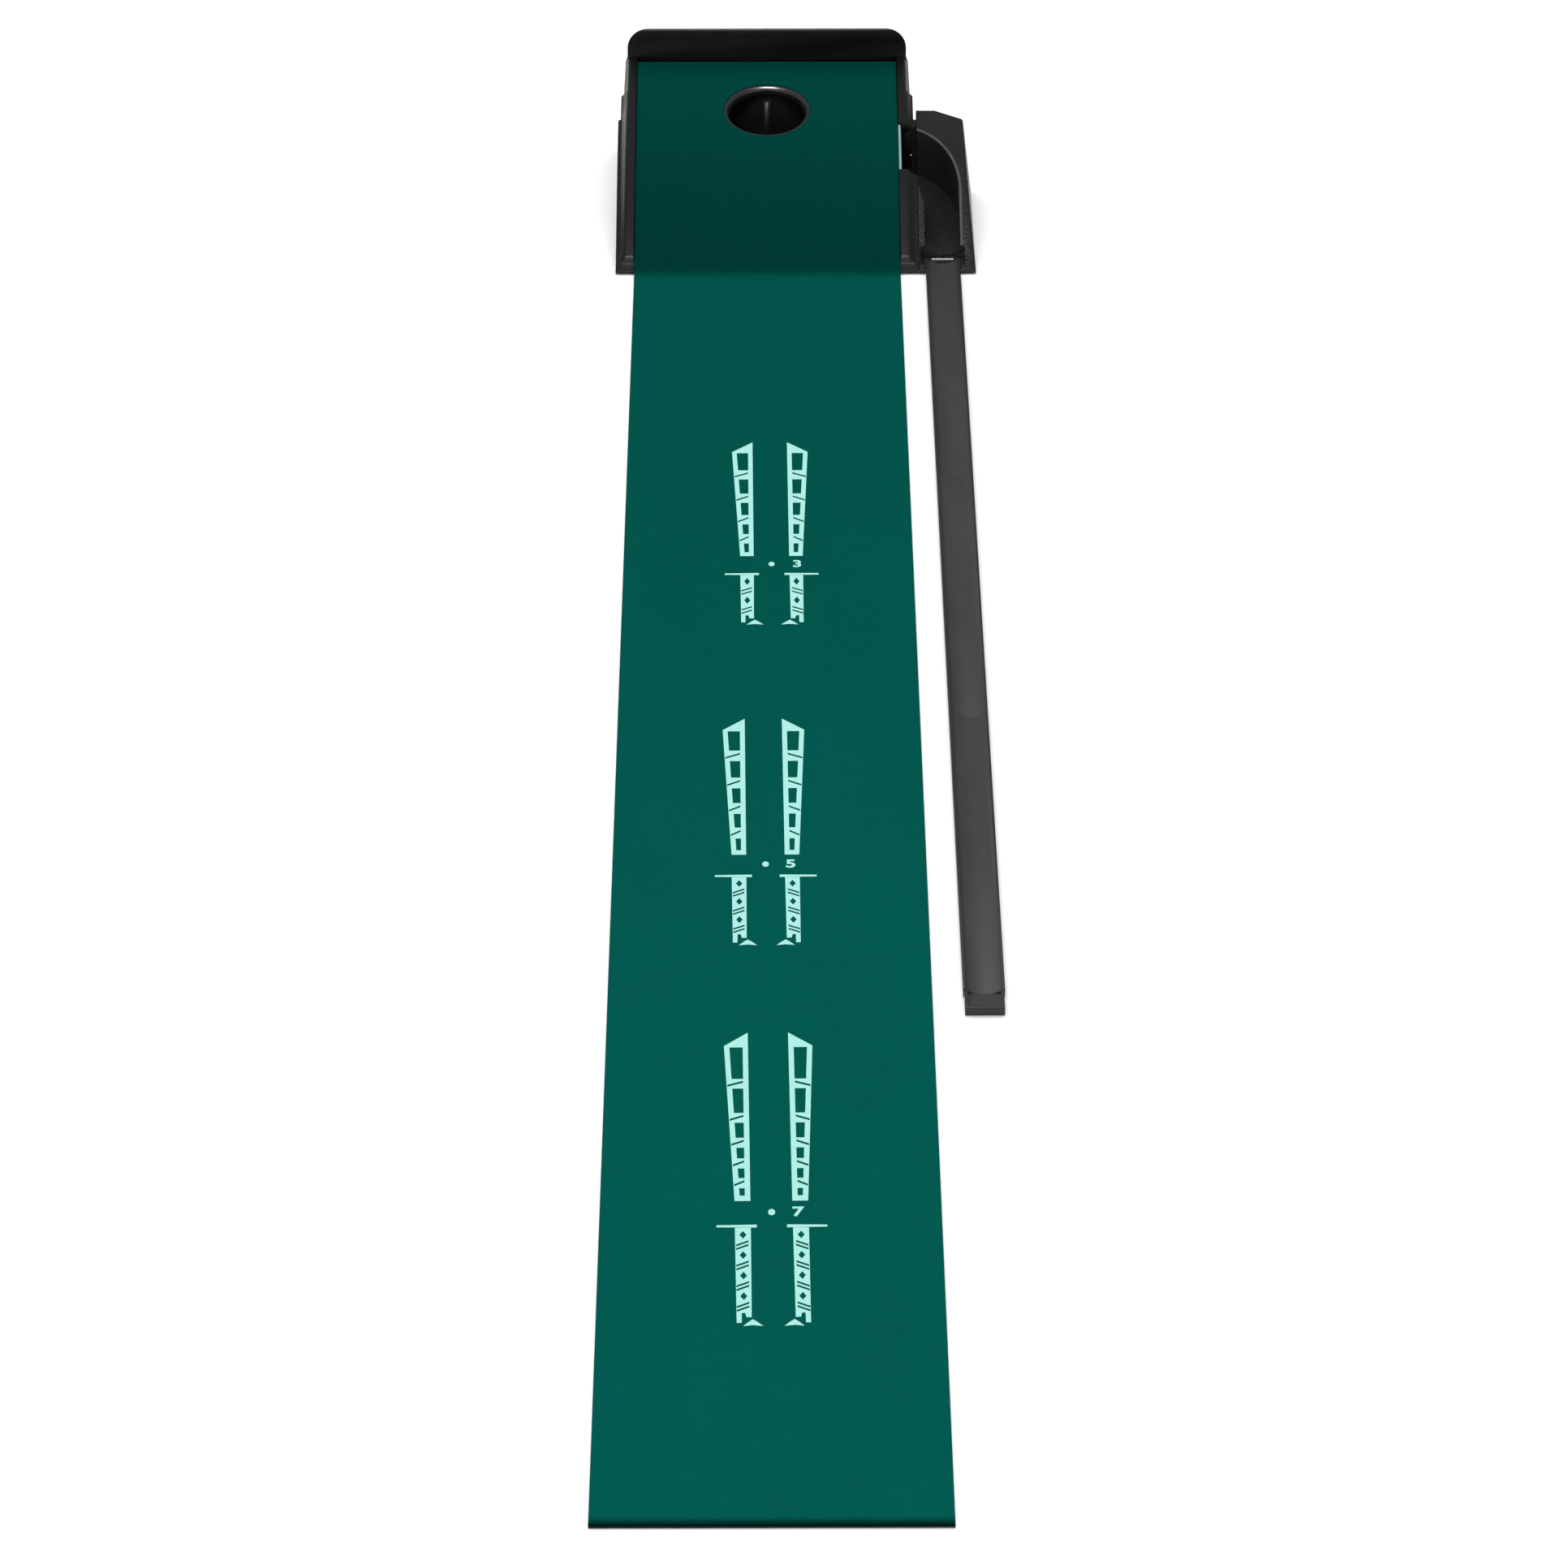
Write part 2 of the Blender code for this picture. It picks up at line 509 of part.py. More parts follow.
def build_gutter(surface):
    """Sloping channel under the cup, open at the chute's end."""
    def section(x, grow, low, high):
        front = y_of(gutter_side(x, "front") - grow)
        back = y_of(gutter_side(x, "rear") + grow)
        front_top = deck_top(front + FOOT_TO_CUP) - DECK_THICKNESS - GUTTER_HEADROOM
        back_top = deck_top(back + FOOT_TO_CUP) - DECK_THICKNESS - GUTTER_HEADROOM
        tops = (front_top, back_top) if high is None else (high, high)
        return [Vector((x, front, low)), Vector((x, front, tops[0])),
                Vector((x, back, tops[1])), Vector((x, back, low))]

    stations = [GUTTER_LEFT - GUTTER_WALL, GUTTER_CUP_END, GUTTER_RIGHT]
    outer = [section(x, GUTTER_WALL, gutter_floor(x) - GUTTER_FLOOR_THICKNESS, None) for x in stations]
    gutter = loft("ball_gutter", outer, surface)
    inner = [section(x, 0.0, gutter_floor(x), ABOVE)
             for x in (GUTTER_LEFT, GUTTER_CUP_END, GUTTER_RIGHT, SIDE + WALL_THICKNESS)]
    lip_start, lip_end = y_of(OPENING_START + LIP_MARGIN), y_of(OPENING_END - LIP_MARGIN)
    lip_root = GUTTER_RIGHT - GUTTER_WALL
    lip_plan = [(lip_root, lip_start), (SIDE, lip_start), (SIDE, lip_end), (lip_root, lip_end)]
    join(gutter, prism("tool_gutter_lip", lip_plan, lambda x, y: gutter_floor(x) - LIP_THICKNESS,
                       lambda x, y: gutter_floor(x) + GUTTER_FLOOR_THICKNESS))
    for i, (x, side) in enumerate(EAR_PLACES):
        run = ear_centre(x, side)
        toward = 1 if side == "front" else -1
        root = EAR_SIZE / 2 + GUTTER_WALL / 2 + EAR_ROOT
        span = sorted((y_of(run) + toward * root, y_of(run) - toward * EAR_SIZE / 2))
        join(gutter, box(f"tool_ear_{i}", (x - EAR_SIZE / 2, span[0], ear_top(x) - EAR_THICKNESS),
                         (x + EAR_SIZE / 2, span[1], ear_top(x))))
    join(gutter, rod("tool_cup_post", (0, 0, FLOOR), (0, 0, 1),
                     gutter_floor(0.0) - FLOOR - GUTTER_FLOOR_THICKNESS / 2, POST_RADIUS))
    cut(gutter, loft("tool_gutter_channel", inner))
    root = y_of(gutter_side(0.0, "rear")) + GUTTER_WALL / 2
    ridge_plan = [(-RIDGE_SIZE, root), (0.0, root - RIDGE_SIZE - GUTTER_WALL / 2), (RIDGE_SIZE, root)]
    join(gutter, prism("tool_cup_ridge", ridge_plan, gutter_floor(RIDGE_SIZE) - GUTTER_FLOOR_THICKNESS / 2,
                       deck_top(GUTTER_CUP_BACK) - RIDGE_DROP))
    collar_room = DECK_HOLE_RADIUS + COLLAR_WALL + COLLAR_GAP
    cut(gutter, rod("tool_collar_room", cup_axis_point(-CUP_COLLAR_DEPTH - DECK_THICKNESS - COLLAR_GAP),
                    CUP_AXIS, 2 * CUP_CUTTER, collar_room, sides=CUP_SIDES))
    for i, (x, side) in enumerate(EAR_PLACES):
        cut(gutter, rod(f"tool_ear_hole_{i}", (x, y_of(ear_centre(x, side)), BELOW), (0, 0, 1),
                        ear_top(x) + BEYOND - BELOW, SCREW_RADIUS + SCREW_BORE_CLEARANCE))
    return gutter


# ---- backstop -----------------------------------------------------------------------------------
def fence_outline(inset, low, wings):
    """Fence seen from the front; the wings close the ends of the rails."""
    half = BACKSTOP_WIDTH / 2 - inset
    top = BACKSTOP_TOP - inset
    corner = BACKSTOP_CORNER - inset
    right = [(half, low)]
    if wings:
        wing = side_top(DECK_END) - inset
        wing_top = deck_top(DECK_END)
        right = [(wing, low), (wing, wing_top), (half, wing_top + RAIL_HEIGHT - inset)]
    for i in range(CORNER_STEPS + 1):
        angle = math.pi / 2 * i / CORNER_STEPS
        right.append((half - corner + corner * math.cos(angle), top - corner + corner * math.sin(angle)))
    return right + [(-x, z) for x, z in reversed(right)]


def build_backstop(surface):
    """Upright fence with a rounded top and a rolled edge."""
    front = y_of(BACKSTOP_FRONT)
    back = front + BACKSTOP_THICKNESS
    sections = []
    edge = FENCE_EDGE
    for y, inset in ((front, edge), (front + edge, 0.0), (back - edge, 0.0), (back, edge)):
        outline = fence_outline(inset, BACKSTOP_BOTTOM, True)
        sections.append([Vector((x, y, z)) for x, z in outline])
    fence = loft("backstop", sections, surface)
    panel = fence_outline(FENCE_RIM, BACKSTOP_BOTTOM + FENCE_RIM, False)
    panel_cut = [[Vector((x, y, z)) for x, z in panel] for y in (back - FENCE_PANEL_DEPTH, back + BEYOND)]
    cut(fence, loft("tool_fence_panel", panel_cut))
    tongue_back = y_of(RAMP_BACK - BACK_WALL) - TOUCH_GAP
    join(fence, box("tool_tongue", (-TONGUE_WIDTH / 2, front + TOUCH_GAP, BACKSTOP_BOTTOM - TONGUE_DROP),
                    (TONGUE_WIDTH / 2, tongue_back, BACKSTOP_BOTTOM + BACKSTOP_THICKNESS)))
    for i, x in enumerate(BACKSTOP_SCREW_XS):
        place = (x, tongue_back - THREAD_END_ROOM, BACKSTOP_SCREW_HEIGHT)
        join(fence, rod(f"tool_tongue_boss_{i}", place, (0, -1, 0), BACKSTOP_SCREW_BITE + BOSS_RADIUS / 2,
                        BOSS_RADIUS))
        start = (x, tongue_back + BEYOND, BACKSTOP_SCREW_HEIGHT)
        cut(fence, rod(f"tool_tongue_bore_{i}", start, (0, -1, 0),
                       BEYOND + BACKSTOP_SCREW_BITE + THREAD_END_ROOM, SCREW_RADIUS + SCREW_BORE_CLEARANCE))
    return fence


# ---- return chute -------------------------------------------------------------------------------
def chute_outer(height):
    return CHUTE_GROUND_EDGE - CHUTE_DRAFT * height


def trough_centre_height(run):
    climb = max(run - SCOOP_CENTRE_RUN, 0.0) * TROUGH_RISE_SLOPE
    return TROUGH_LIP_HEIGHT + TROUGH_SLOPE * (min(run, SCOOP_CENTRE_RUN) - TROUGH_FRONT) + climb


def trough_sag(x):
    """How far the hollow floor rises at a distance from the trough's middle."""
    return TROUGH_ROUND - math.sqrt(TROUGH_ROUND ** 2 - x ** 2)


def scoop_wall(grow):
    """Plan of the oval wall, from the trough's right side round to the side opening."""
    points = []
    for i in range(SCOOP_STEPS + 1):
        angle = math.pi / 2 * i / SCOOP_STEPS
        x = SCOOP_CENTRE_X + (SCOOP_REACH + grow) * math.cos(angle)
        points.append((x, y_of(SCOOP_CENTRE_RUN) + (SCOOP_LENGTH + grow) * math.sin(angle)))
    return points


def trough_cutter(name, grow):
    """Channel with a hollow floor, from the lip up into the scoop; grow makes the outside of its wall."""
    sections = []
    half = TROUGH_WIDTH / 2
    front = TROUGH_FRONT - TOUCH_GAP if grow else 0.0
    for run in (front, SCOOP_CENTRE_RUN, TROUGH_RISE_END + grow):
        low = trough_centre_height(max(run, TROUGH_FRONT)) - grow
        outline = [(-half - grow, ABOVE)]
        for i in range(TROUGH_STEPS + 1):
            x = -half + 2 * half * i / TROUGH_STEPS
            outline.append((x * (half + grow) / half, low + trough_sag(x)))
        outline.append((half + grow, ABOVE))
        sections.append([Vector((TROUGH_CENTRE + x, y_of(run), z)) for x, z in outline])
    cutter = loft(name, sections)
    if not grow:
        plan = [(TROUGH_LEFT - SCOOP_MARGIN, y_of(0.0) - SCOOP_MARGIN),
                (TROUGH_RIGHT + SCOOP_MARGIN, y_of(0.0) - SCOOP_MARGIN),
                (TROUGH_RIGHT + SCOOP_MARGIN, y_of(SCOOP_CENTRE_RUN))]
        plan += scoop_wall(0.0) + [(TROUGH_LEFT - SCOOP_MARGIN, y_of(OPENING_END))]
        plan = [point for point in plan if point[0] >= TROUGH_LEFT - SCOOP_MARGIN]
        combine(cutter, prism(name + "_plan", plan, 2 * BELOW, 2 * ABOVE), "INTERSECT")
    return cutter


def scoop_floor(x, y):
    level = trough_centre_height(SCOOP_CENTRE_RUN) + trough_sag(TROUGH_WIDTH / 2)
    return (level + SCOOP_FLOOR_X_SLOPE * (TROUGH_RIGHT - x)
            + SCOOP_FLOOR_Y_SLOPE * (y - y_of(SCOOP_CENTRE_RUN)))


def scoop_cutter(name, grow):
    """Chamber with an oval wall that turns the ball towards the player."""
    near = y_of(OPENING_START) - grow
    outline = [(SCOOP_CENTRE_X, near), (SCOOP_NEAR_X, near),
               (TROUGH_LEFT + SCOOP_MARGIN, y_of(SCOOP_NEAR_RUN) - grow),
               (TROUGH_RIGHT - SCOOP_MARGIN, y_of(SCOOP_NEAR_RUN) - grow),
               (TROUGH_RIGHT - SCOOP_MARGIN, y_of(SCOOP_CENTRE_RUN) - grow)]

    def floor(x, y):
        return scoop_floor(x, y) - grow
    return prism(name, outline + scoop_wall(grow), floor, ABOVE)


def build_return_chute(surface):
    edge_runs = [run for run in RAMP_RUNS if run < CHUTE_BACK] + [CHUTE_BACK]

    def sections(inset, start, end):
        rings = []
        runs = [start] + [run for run in edge_runs if start < run < end] + [end]
        for run in runs:
            top = deck_top(run) - inset
            left = CHUTE_INNER if inset == 0 else TROUGH_LEFT + CHUTE_WALL
            low = FLOOR if inset == 0 else BELOW
            foot, edge = (chute_outer(max(low, 0.0)) - inset, low), (chute_outer(top) - inset, top)
            rounding = min(2 * EDGE_ROUND, (top - low) / 3)
            outline = [(left, low), (left, top)] + rounded_corner((left, top), edge, foot, rounding) + [foot]
            rings.append([Vector((x, y_of(run), z)) for x, z in outline])
        return rings

    chute = loft("return_chute", sections(0.0, RAMP_FRONT, CHUTE_BACK), surface)
    beyond = CHUTE_GROUND_EDGE + BEYOND
    share = (beyond - CHUTE_CORNER_X) / (chute_outer(deck_top(CHUTE_BACK)) - CHUTE_CORNER_X)
    corner = [(CHUTE_CORNER_X, y_of(CHUTE_BACK) + TOUCH_GAP),
              (beyond, y_of(CHUTE_BACK - (CHUTE_BACK - CHUTE_CORNER_RUN) * share)),
              (beyond, y_of(CHUTE_BACK) + BEYOND), (CHUTE_CORNER_X, y_of(CHUTE_BACK) + BEYOND)]
    cut(chute, prism("tool_rear_corner", corner, BELOW, ABOVE))

    hollow = loft("tool_chute_hollow", sections(CHUTE_WALL, POCKET_END + CHUTE_WALL, CHUTE_BACK - CHUTE_WALL))
    inner_corner = [(x, y - CHUTE_WALL * 1.2) for x, y in corner]
    cut(hollow, prism("tool_inner_corner", inner_corner, 2 * BELOW, ABOVE),
        trough_cutter("tool_trough_wall", CHUTE_WALL), scoop_cutter("tool_scoop_wall", CHUTE_WALL))
    cut(chute, hollow)

    cut(chute, trough_cutter("tool_trough", 0.0), scoop_cutter("tool_scoop", 0.0))
    pocket = (TROUGH_CENTRE - POCKET_WIDTH / 2, TROUGH_CENTRE + POCKET_WIDTH / 2)
    cut(chute, box("tool_pocket", (pocket[0], y_of(POCKET_START), POCKET_FLOOR),
                   (pocket[1], y_of(POCKET_END), ABOVE)))
    cut(chute, box("tool_track_seat", (TROUGH_LEFT + TRACK_SIDE_GAP, y_of(0.0), BELOW),
                   (TROUGH_RIGHT - TRACK_SIDE_GAP, y_of(TROUGH_FRONT), ABOVE)))
    join(chute, track_tongue("tool_chute_tongue", y_of(TROUGH_FRONT), TROUGH_LIP_HEIGHT - TONGUE_ROOT_DROP))
    for i, (run, height) in enumerate(CHUTE_SCREWS):
        start = (SIDE - BEYOND, y_of(run), height)
        cut(chute, rod(f"tool_chute_bore_{i}", start, (1, 0, 0),
                       BEYOND + screw_reach(run) + 2 * THREAD_END_ROOM, SCREW_RADIUS + SCREW_BORE_CLEARANCE))
    return chute


def screw_reach(run):
    """How far a chute screw may go beyond the ramp's side: less beside the trough."""
    return CHUTE_SCREW_SHORT if run < OPENING_END else CHUTE_SCREW_REACH


# ---- track --------------------------------------------------------------------------------------
def track_profile():
    """U-shaped cross-section, as (x, z) pairs from the middle of the track."""
    half = TRACK_WIDTH / 2
    inner = half - TRACK_RAIL
    outline = [(-half, 0.0), (half, 0.0), (half, TRACK_HEIGHT), (inner, TRACK_HEIGHT)]
    for i in range(TRACK_STEPS + 1):
        x = inner - 2 * inner * i / TRACK_STEPS
        sag = TRACK_ROUND - math.sqrt(TRACK_ROUND ** 2 - x ** 2)
        outline.append((x, TRACK_FLOOR + sag))
    outline += [(-inner, TRACK_HEIGHT), (-half, TRACK_HEIGHT)]
    return outline


def track_tongue(name, root_y, root_height):
    """Flat tongue on the floor that the next section's underside slips over."""
    half = TRACK_TONGUE_WIDTH / 2
    low = TOUCH_GAP
    top = low + TRACK_TONGUE_THICKNESS
    back, face = root_y + TONGUE_ROOT, root_y + TOUCH_GAP
    side = [(root_y - TONGUE_LENGTH, low), (back, low), (back, root_height),
            (face, root_height), (face, top), (root_y - TONGUE_LENGTH, top)]
    sections = [[Vector((TROUGH_CENTRE + x, y, z)) for y, z in side] for x in (-half, half)]
    return loft(name, sections)


def tongue_room(name, root_y):
    half = TRACK_TONGUE_WIDTH / 2 + TOUCH_GAP
    return box(name, (TROUGH_CENTRE - half, root_y - TONGUE_LENGTH - 2 * TOUCH_GAP, BELOW),
               (TROUGH_CENTRE + half, root_y + BEYOND, 2 * TOUCH_GAP + TRACK_TONGUE_THICKNESS))


def track_root(index):
    """Y of the upstream end of a track section."""
    return y_of(TROUGH_FRONT) - TOUCH_GAP - index * (TRACK_LENGTH + TOUCH_GAP)


def build_track_section(index, surface):
    start = track_root(index)
    end = start - TRACK_LENGTH
    sections = [[Vector((TROUGH_CENTRE + x, y, z)) for x, z in track_profile()] for y in (start, end)]
    section = loft(f"track_section_{index + 1}", sections, surface)
    cut(section, tongue_room(f"tool_tongue_room_{index}", start + TOUCH_GAP))
    join(section, track_tongue(f"tool_track_tongue_{index}", end, TRACK_FLOOR - TONGUE_ROOT_DROP / 2))
    return section


def build_track_stop(surface):
    start = track_root(TRACK_COUNT)
    end = start - TONGUE_LENGTH - STOP_LENGTH
    half = STOP_WIDTH / 2
    stop = box("track_end_stop", (TROUGH_CENTRE - half, end, 0.0), (TROUGH_CENTRE + half, start, STOP_HEIGHT),
               surface)
    inner = half - STOP_WALL
    cut(stop, box("tool_stop_pocket", (TROUGH_CENTRE - inner, end + STOP_WALL, STOP_FLOOR),
                  (TROUGH_CENTRE + inner, start + BEYOND, ABOVE)))
    cut(stop, tongue_room("tool_stop_tongue_room", start + TOUCH_GAP))
    return stop


# ---- mat ----------------------------------------------------------------------------------------
def mat_layer(name, low, high, surface, start=-MAT_FLAT_LENGTH, end=MAT_END):
    """One layer of the mat, between two distances from its underside, with the cup's hole."""
    bends = spread(-FOOT_BEND, FOOT_BEND, 7) + spread(INCLINE_RUN, INCLINE_RUN + CREST_RUN, 9)
    runs = [start] + [run for run in bends if start < run < end] + [end]
    sections = []
    for run in runs:
        angle = math.atan(slope(run))
        if run <= -FOOT_BEND or run >= MAT_END:
            angle = math.atan(slope(run + math.copysign(STEP_RUN, -run)))
        normal = Vector((0.0, -math.sin(angle), math.cos(angle)))
        foot = Vector((0.0, y_of(run), rise(run)))
        ring = []
        for x, offset in ((-1, low), (1, low), (1, high), (-1, high)):
            ring.append(foot + normal * offset + Vector((x * MAT_WIDTH / 2, 0.0, 0.0)))
        sections.append(ring)
    layer = loft(name, sections, surface)
    if end > FOOT_TO_CUP:
        cut(layer, rod(f"tool_hole_{name}", cup_axis_point(-CUP_CUTTER), CUP_AXIS, 2 * CUP_CUTTER,
                       CUP_DIAMETER / 2, sides=CUP_SIDES))
    return layer


# ---- small parts --------------------------------------------------------------------------------
def screw(name, seat, axis, reach, surface):
    """Pan-head screw: seat is the point under its head, and axis points from the head to the tip."""
    edge = SCREW_HEAD_EDGE
    profile = [(-SCREW_HEAD_HEIGHT, SCREW_HEAD_RADIUS - 2 * edge),
               (edge - SCREW_HEAD_HEIGHT, SCREW_HEAD_RADIUS - edge / 2),
               (-edge, SCREW_HEAD_RADIUS), (0.0, SCREW_HEAD_RADIUS), (0.0, SCREW_RADIUS),
               (reach - SCREW_TIP, SCREW_RADIUS), (reach, SCREW_RADIUS / 2)]
    return turned(name, profile, seat, axis, surface, sides=20)


def rubber_pad(name, x, run, surface):
    profile = [(0.0, PAD_RADIUS), (FOOT_PAD_HEIGHT - TOUCH_GAP, PAD_RADIUS - PAD_TAPER)]
    return turned(name, profile, (x, y_of(run), 0.0), (0, 0, 1), surface, sides=24)


def build_small_parts(steel, rubber, loop):
    for i, (x, side) in enumerate(EAR_PLACES):
        seat = (x, y_of(ear_centre(x, side)), ear_top(x) - EAR_THICKNESS - TOUCH_GAP)
        screw(f"gutter_screw_{i + 1}", seat, (0, 0, 1), EAR_THICKNESS + GUTTER_SCREW_BITE, steel)
    for i, (run, height) in enumerate(CHUTE_SCREWS):
        seat_x = inner_wall_x(height + SCREW_HEAD_RADIUS, run) - TOUCH_GAP
        reach = SIDE + TOUCH_GAP + screw_reach(run) - seat_x
        screw(f"chute_screw_{i + 1}", (seat_x, y_of(run), height), (1, 0, 0), reach, steel)
    for i, x in enumerate(BACKSTOP_SCREW_XS):
        seat = (x, y_of(RAMP_BACK) + TOUCH_GAP, BACKSTOP_SCREW_HEIGHT)
        screw(f"backstop_screw_{i + 1}", seat, (0, -1, 0), BACK_WALL + BACKSTOP_SCREW_BITE, steel)
    places = {"left_front": (-TOE_PAD_X, TOE_PAD_RUN), "right_front": (TOE_PAD_X, TOE_PAD_RUN),
              "left_rear": CORNER_POSTS[0], "right_rear": CORNER_POSTS[1], "cup": (0.0, FOOT_TO_CUP),
              "chute": (CHUTE_INNER + CHUTE_PAD_INSET, CHUTE_PAD_RUN)}
    for label, (x, run) in places.items():
        rubber_pad(f"rubber_foot_{label}", x, run, rubber)
    for i, run in enumerate(STRIP_RUNS):
        low = -(STRIP_THICKNESS + TOUCH_GAP)
        strip_block(f"hook_strip_{i + 1}", run, 0.0, low, -TOUCH_GAP, loop)


def build():
    for old in list(bpy.data.objects):
        bpy.data.objects.remove(old, do_unlink=True)
    black = material("moulded_plastic", (0.018, 0.018, 0.020), 0.45)
    fence = material("fence_plastic", (0.008, 0.008, 0.009), 0.40)
    chute = material("chute_plastic", (0.022, 0.022, 0.023), 0.50)
    track = material("track_plastic", (0.040, 0.040, 0.041), 0.55)
    turf = material("turf", (0.002, 0.089, 0.071), 0.95)
    backing = material("mat_rubber", (0.020, 0.020, 0.020), 0.90)
    steel = material("zinc_steel", (0.55, 0.55, 0.56), 0.35, 1.0)
    rubber = material("pad_rubber", (0.012, 0.012, 0.012), 0.85)
    loop = material("hook_tape", (0.015, 0.015, 0.015), 0.95)

    build_ramp_shell(black)
    build_gutter(black)
    build_backstop(fence)
    build_return_chute(chute)
    for index in range(TRACK_COUNT):
        build_track_section(index, track)
    build_track_stop(track)
    mat_layer("mat_backing_floor", 0.0, BACKING_THICKNESS, backing, end=BACKING_JOINT_RUN - TOUCH_GAP)
    mat_layer("mat_backing_ramp", 0.0, BACKING_THICKNESS, backing, start=BACKING_JOINT_RUN)
    mat_layer("turf", BACKING_THICKNESS + TOUCH_GAP, MAT_THICKNESS, turf)
    build_small_parts(steel, rubber, loop)


build()
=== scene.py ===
"""Looks of the practice putting mat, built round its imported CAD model.

Metres, +Z up. The origin is on the floor under the cup, +Y points away from the player and +X is the
side with the ball return.
"""
import math

import bmesh
import bpy
from mathutils import Matrix, Vector, noise


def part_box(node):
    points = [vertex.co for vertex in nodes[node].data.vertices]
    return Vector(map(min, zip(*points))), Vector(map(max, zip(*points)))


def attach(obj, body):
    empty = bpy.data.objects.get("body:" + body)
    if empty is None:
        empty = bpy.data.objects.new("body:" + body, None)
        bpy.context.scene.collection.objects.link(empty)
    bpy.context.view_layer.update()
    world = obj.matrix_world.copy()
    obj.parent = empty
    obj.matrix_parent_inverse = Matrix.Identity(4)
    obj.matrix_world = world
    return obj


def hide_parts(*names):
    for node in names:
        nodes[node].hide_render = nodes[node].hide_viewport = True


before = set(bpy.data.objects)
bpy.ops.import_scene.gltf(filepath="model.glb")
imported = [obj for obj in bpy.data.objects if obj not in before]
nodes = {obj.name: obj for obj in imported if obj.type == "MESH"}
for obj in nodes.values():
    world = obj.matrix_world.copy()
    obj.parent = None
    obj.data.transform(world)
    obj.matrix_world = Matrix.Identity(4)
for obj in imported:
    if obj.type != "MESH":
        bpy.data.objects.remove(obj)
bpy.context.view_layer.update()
SCENE = bpy.context.scene


# ---- measures taken from the CAD nodes ----------------------------------------------------------
turf_low, turf_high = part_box("turf")
backing_low, backing_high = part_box("mat_backing_floor")
track_low, track_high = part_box("track_section_1")
MAT_HALF = turf_high.x
PILE = 0.0019           # thickness of the green pile, square to its slope
FRONT_Y = turf_low.y
BACK_Y = turf_high.y
FOOT_Y = -0.251         # where the ramp begins to rise
WELD = 0.000002         # vertices closer than this are one
TRACK_X = (track_low.x + track_high.x) / 2


def underside(node):
    """(y, z) pairs along the right-hand edge of a node's underside, from front to back."""
    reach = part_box(node)[1].x - 0.0004
    mesh = nodes[node].data
    places = {}
    for face in mesh.polygons:
        if face.normal.z < -0.5:
            for index in face.vertices:
                spot = mesh.vertices[index].co
                if spot.x >= reach:
                    places[round(spot.y, 5)] = spot.z
    return sorted(places.items())


def height_on(profile, y):
    """Linear interpolation along a profile."""
    if y <= profile[0][0]:
        return profile[0][1]
    for (y0, z0), (y1, z1) in zip(profile, profile[1:]):
        if y <= y1:
            return z0 + (z1 - z0) * (y - y0) / (y1 - y0)
    return profile[-1][1]


TURF_UNDER = underside("turf")
FLAT_TOP = turf_low.z + PILE


def turf_normal(y):
    """Unit vector square to the mat's slope at this Y."""
    step = 0.001
    rise = (height_on(TURF_UNDER, y + step) - height_on(TURF_UNDER, y - step)) / (2 * step)
    return Vector((0.0, -rise, 1.0)).normalized()


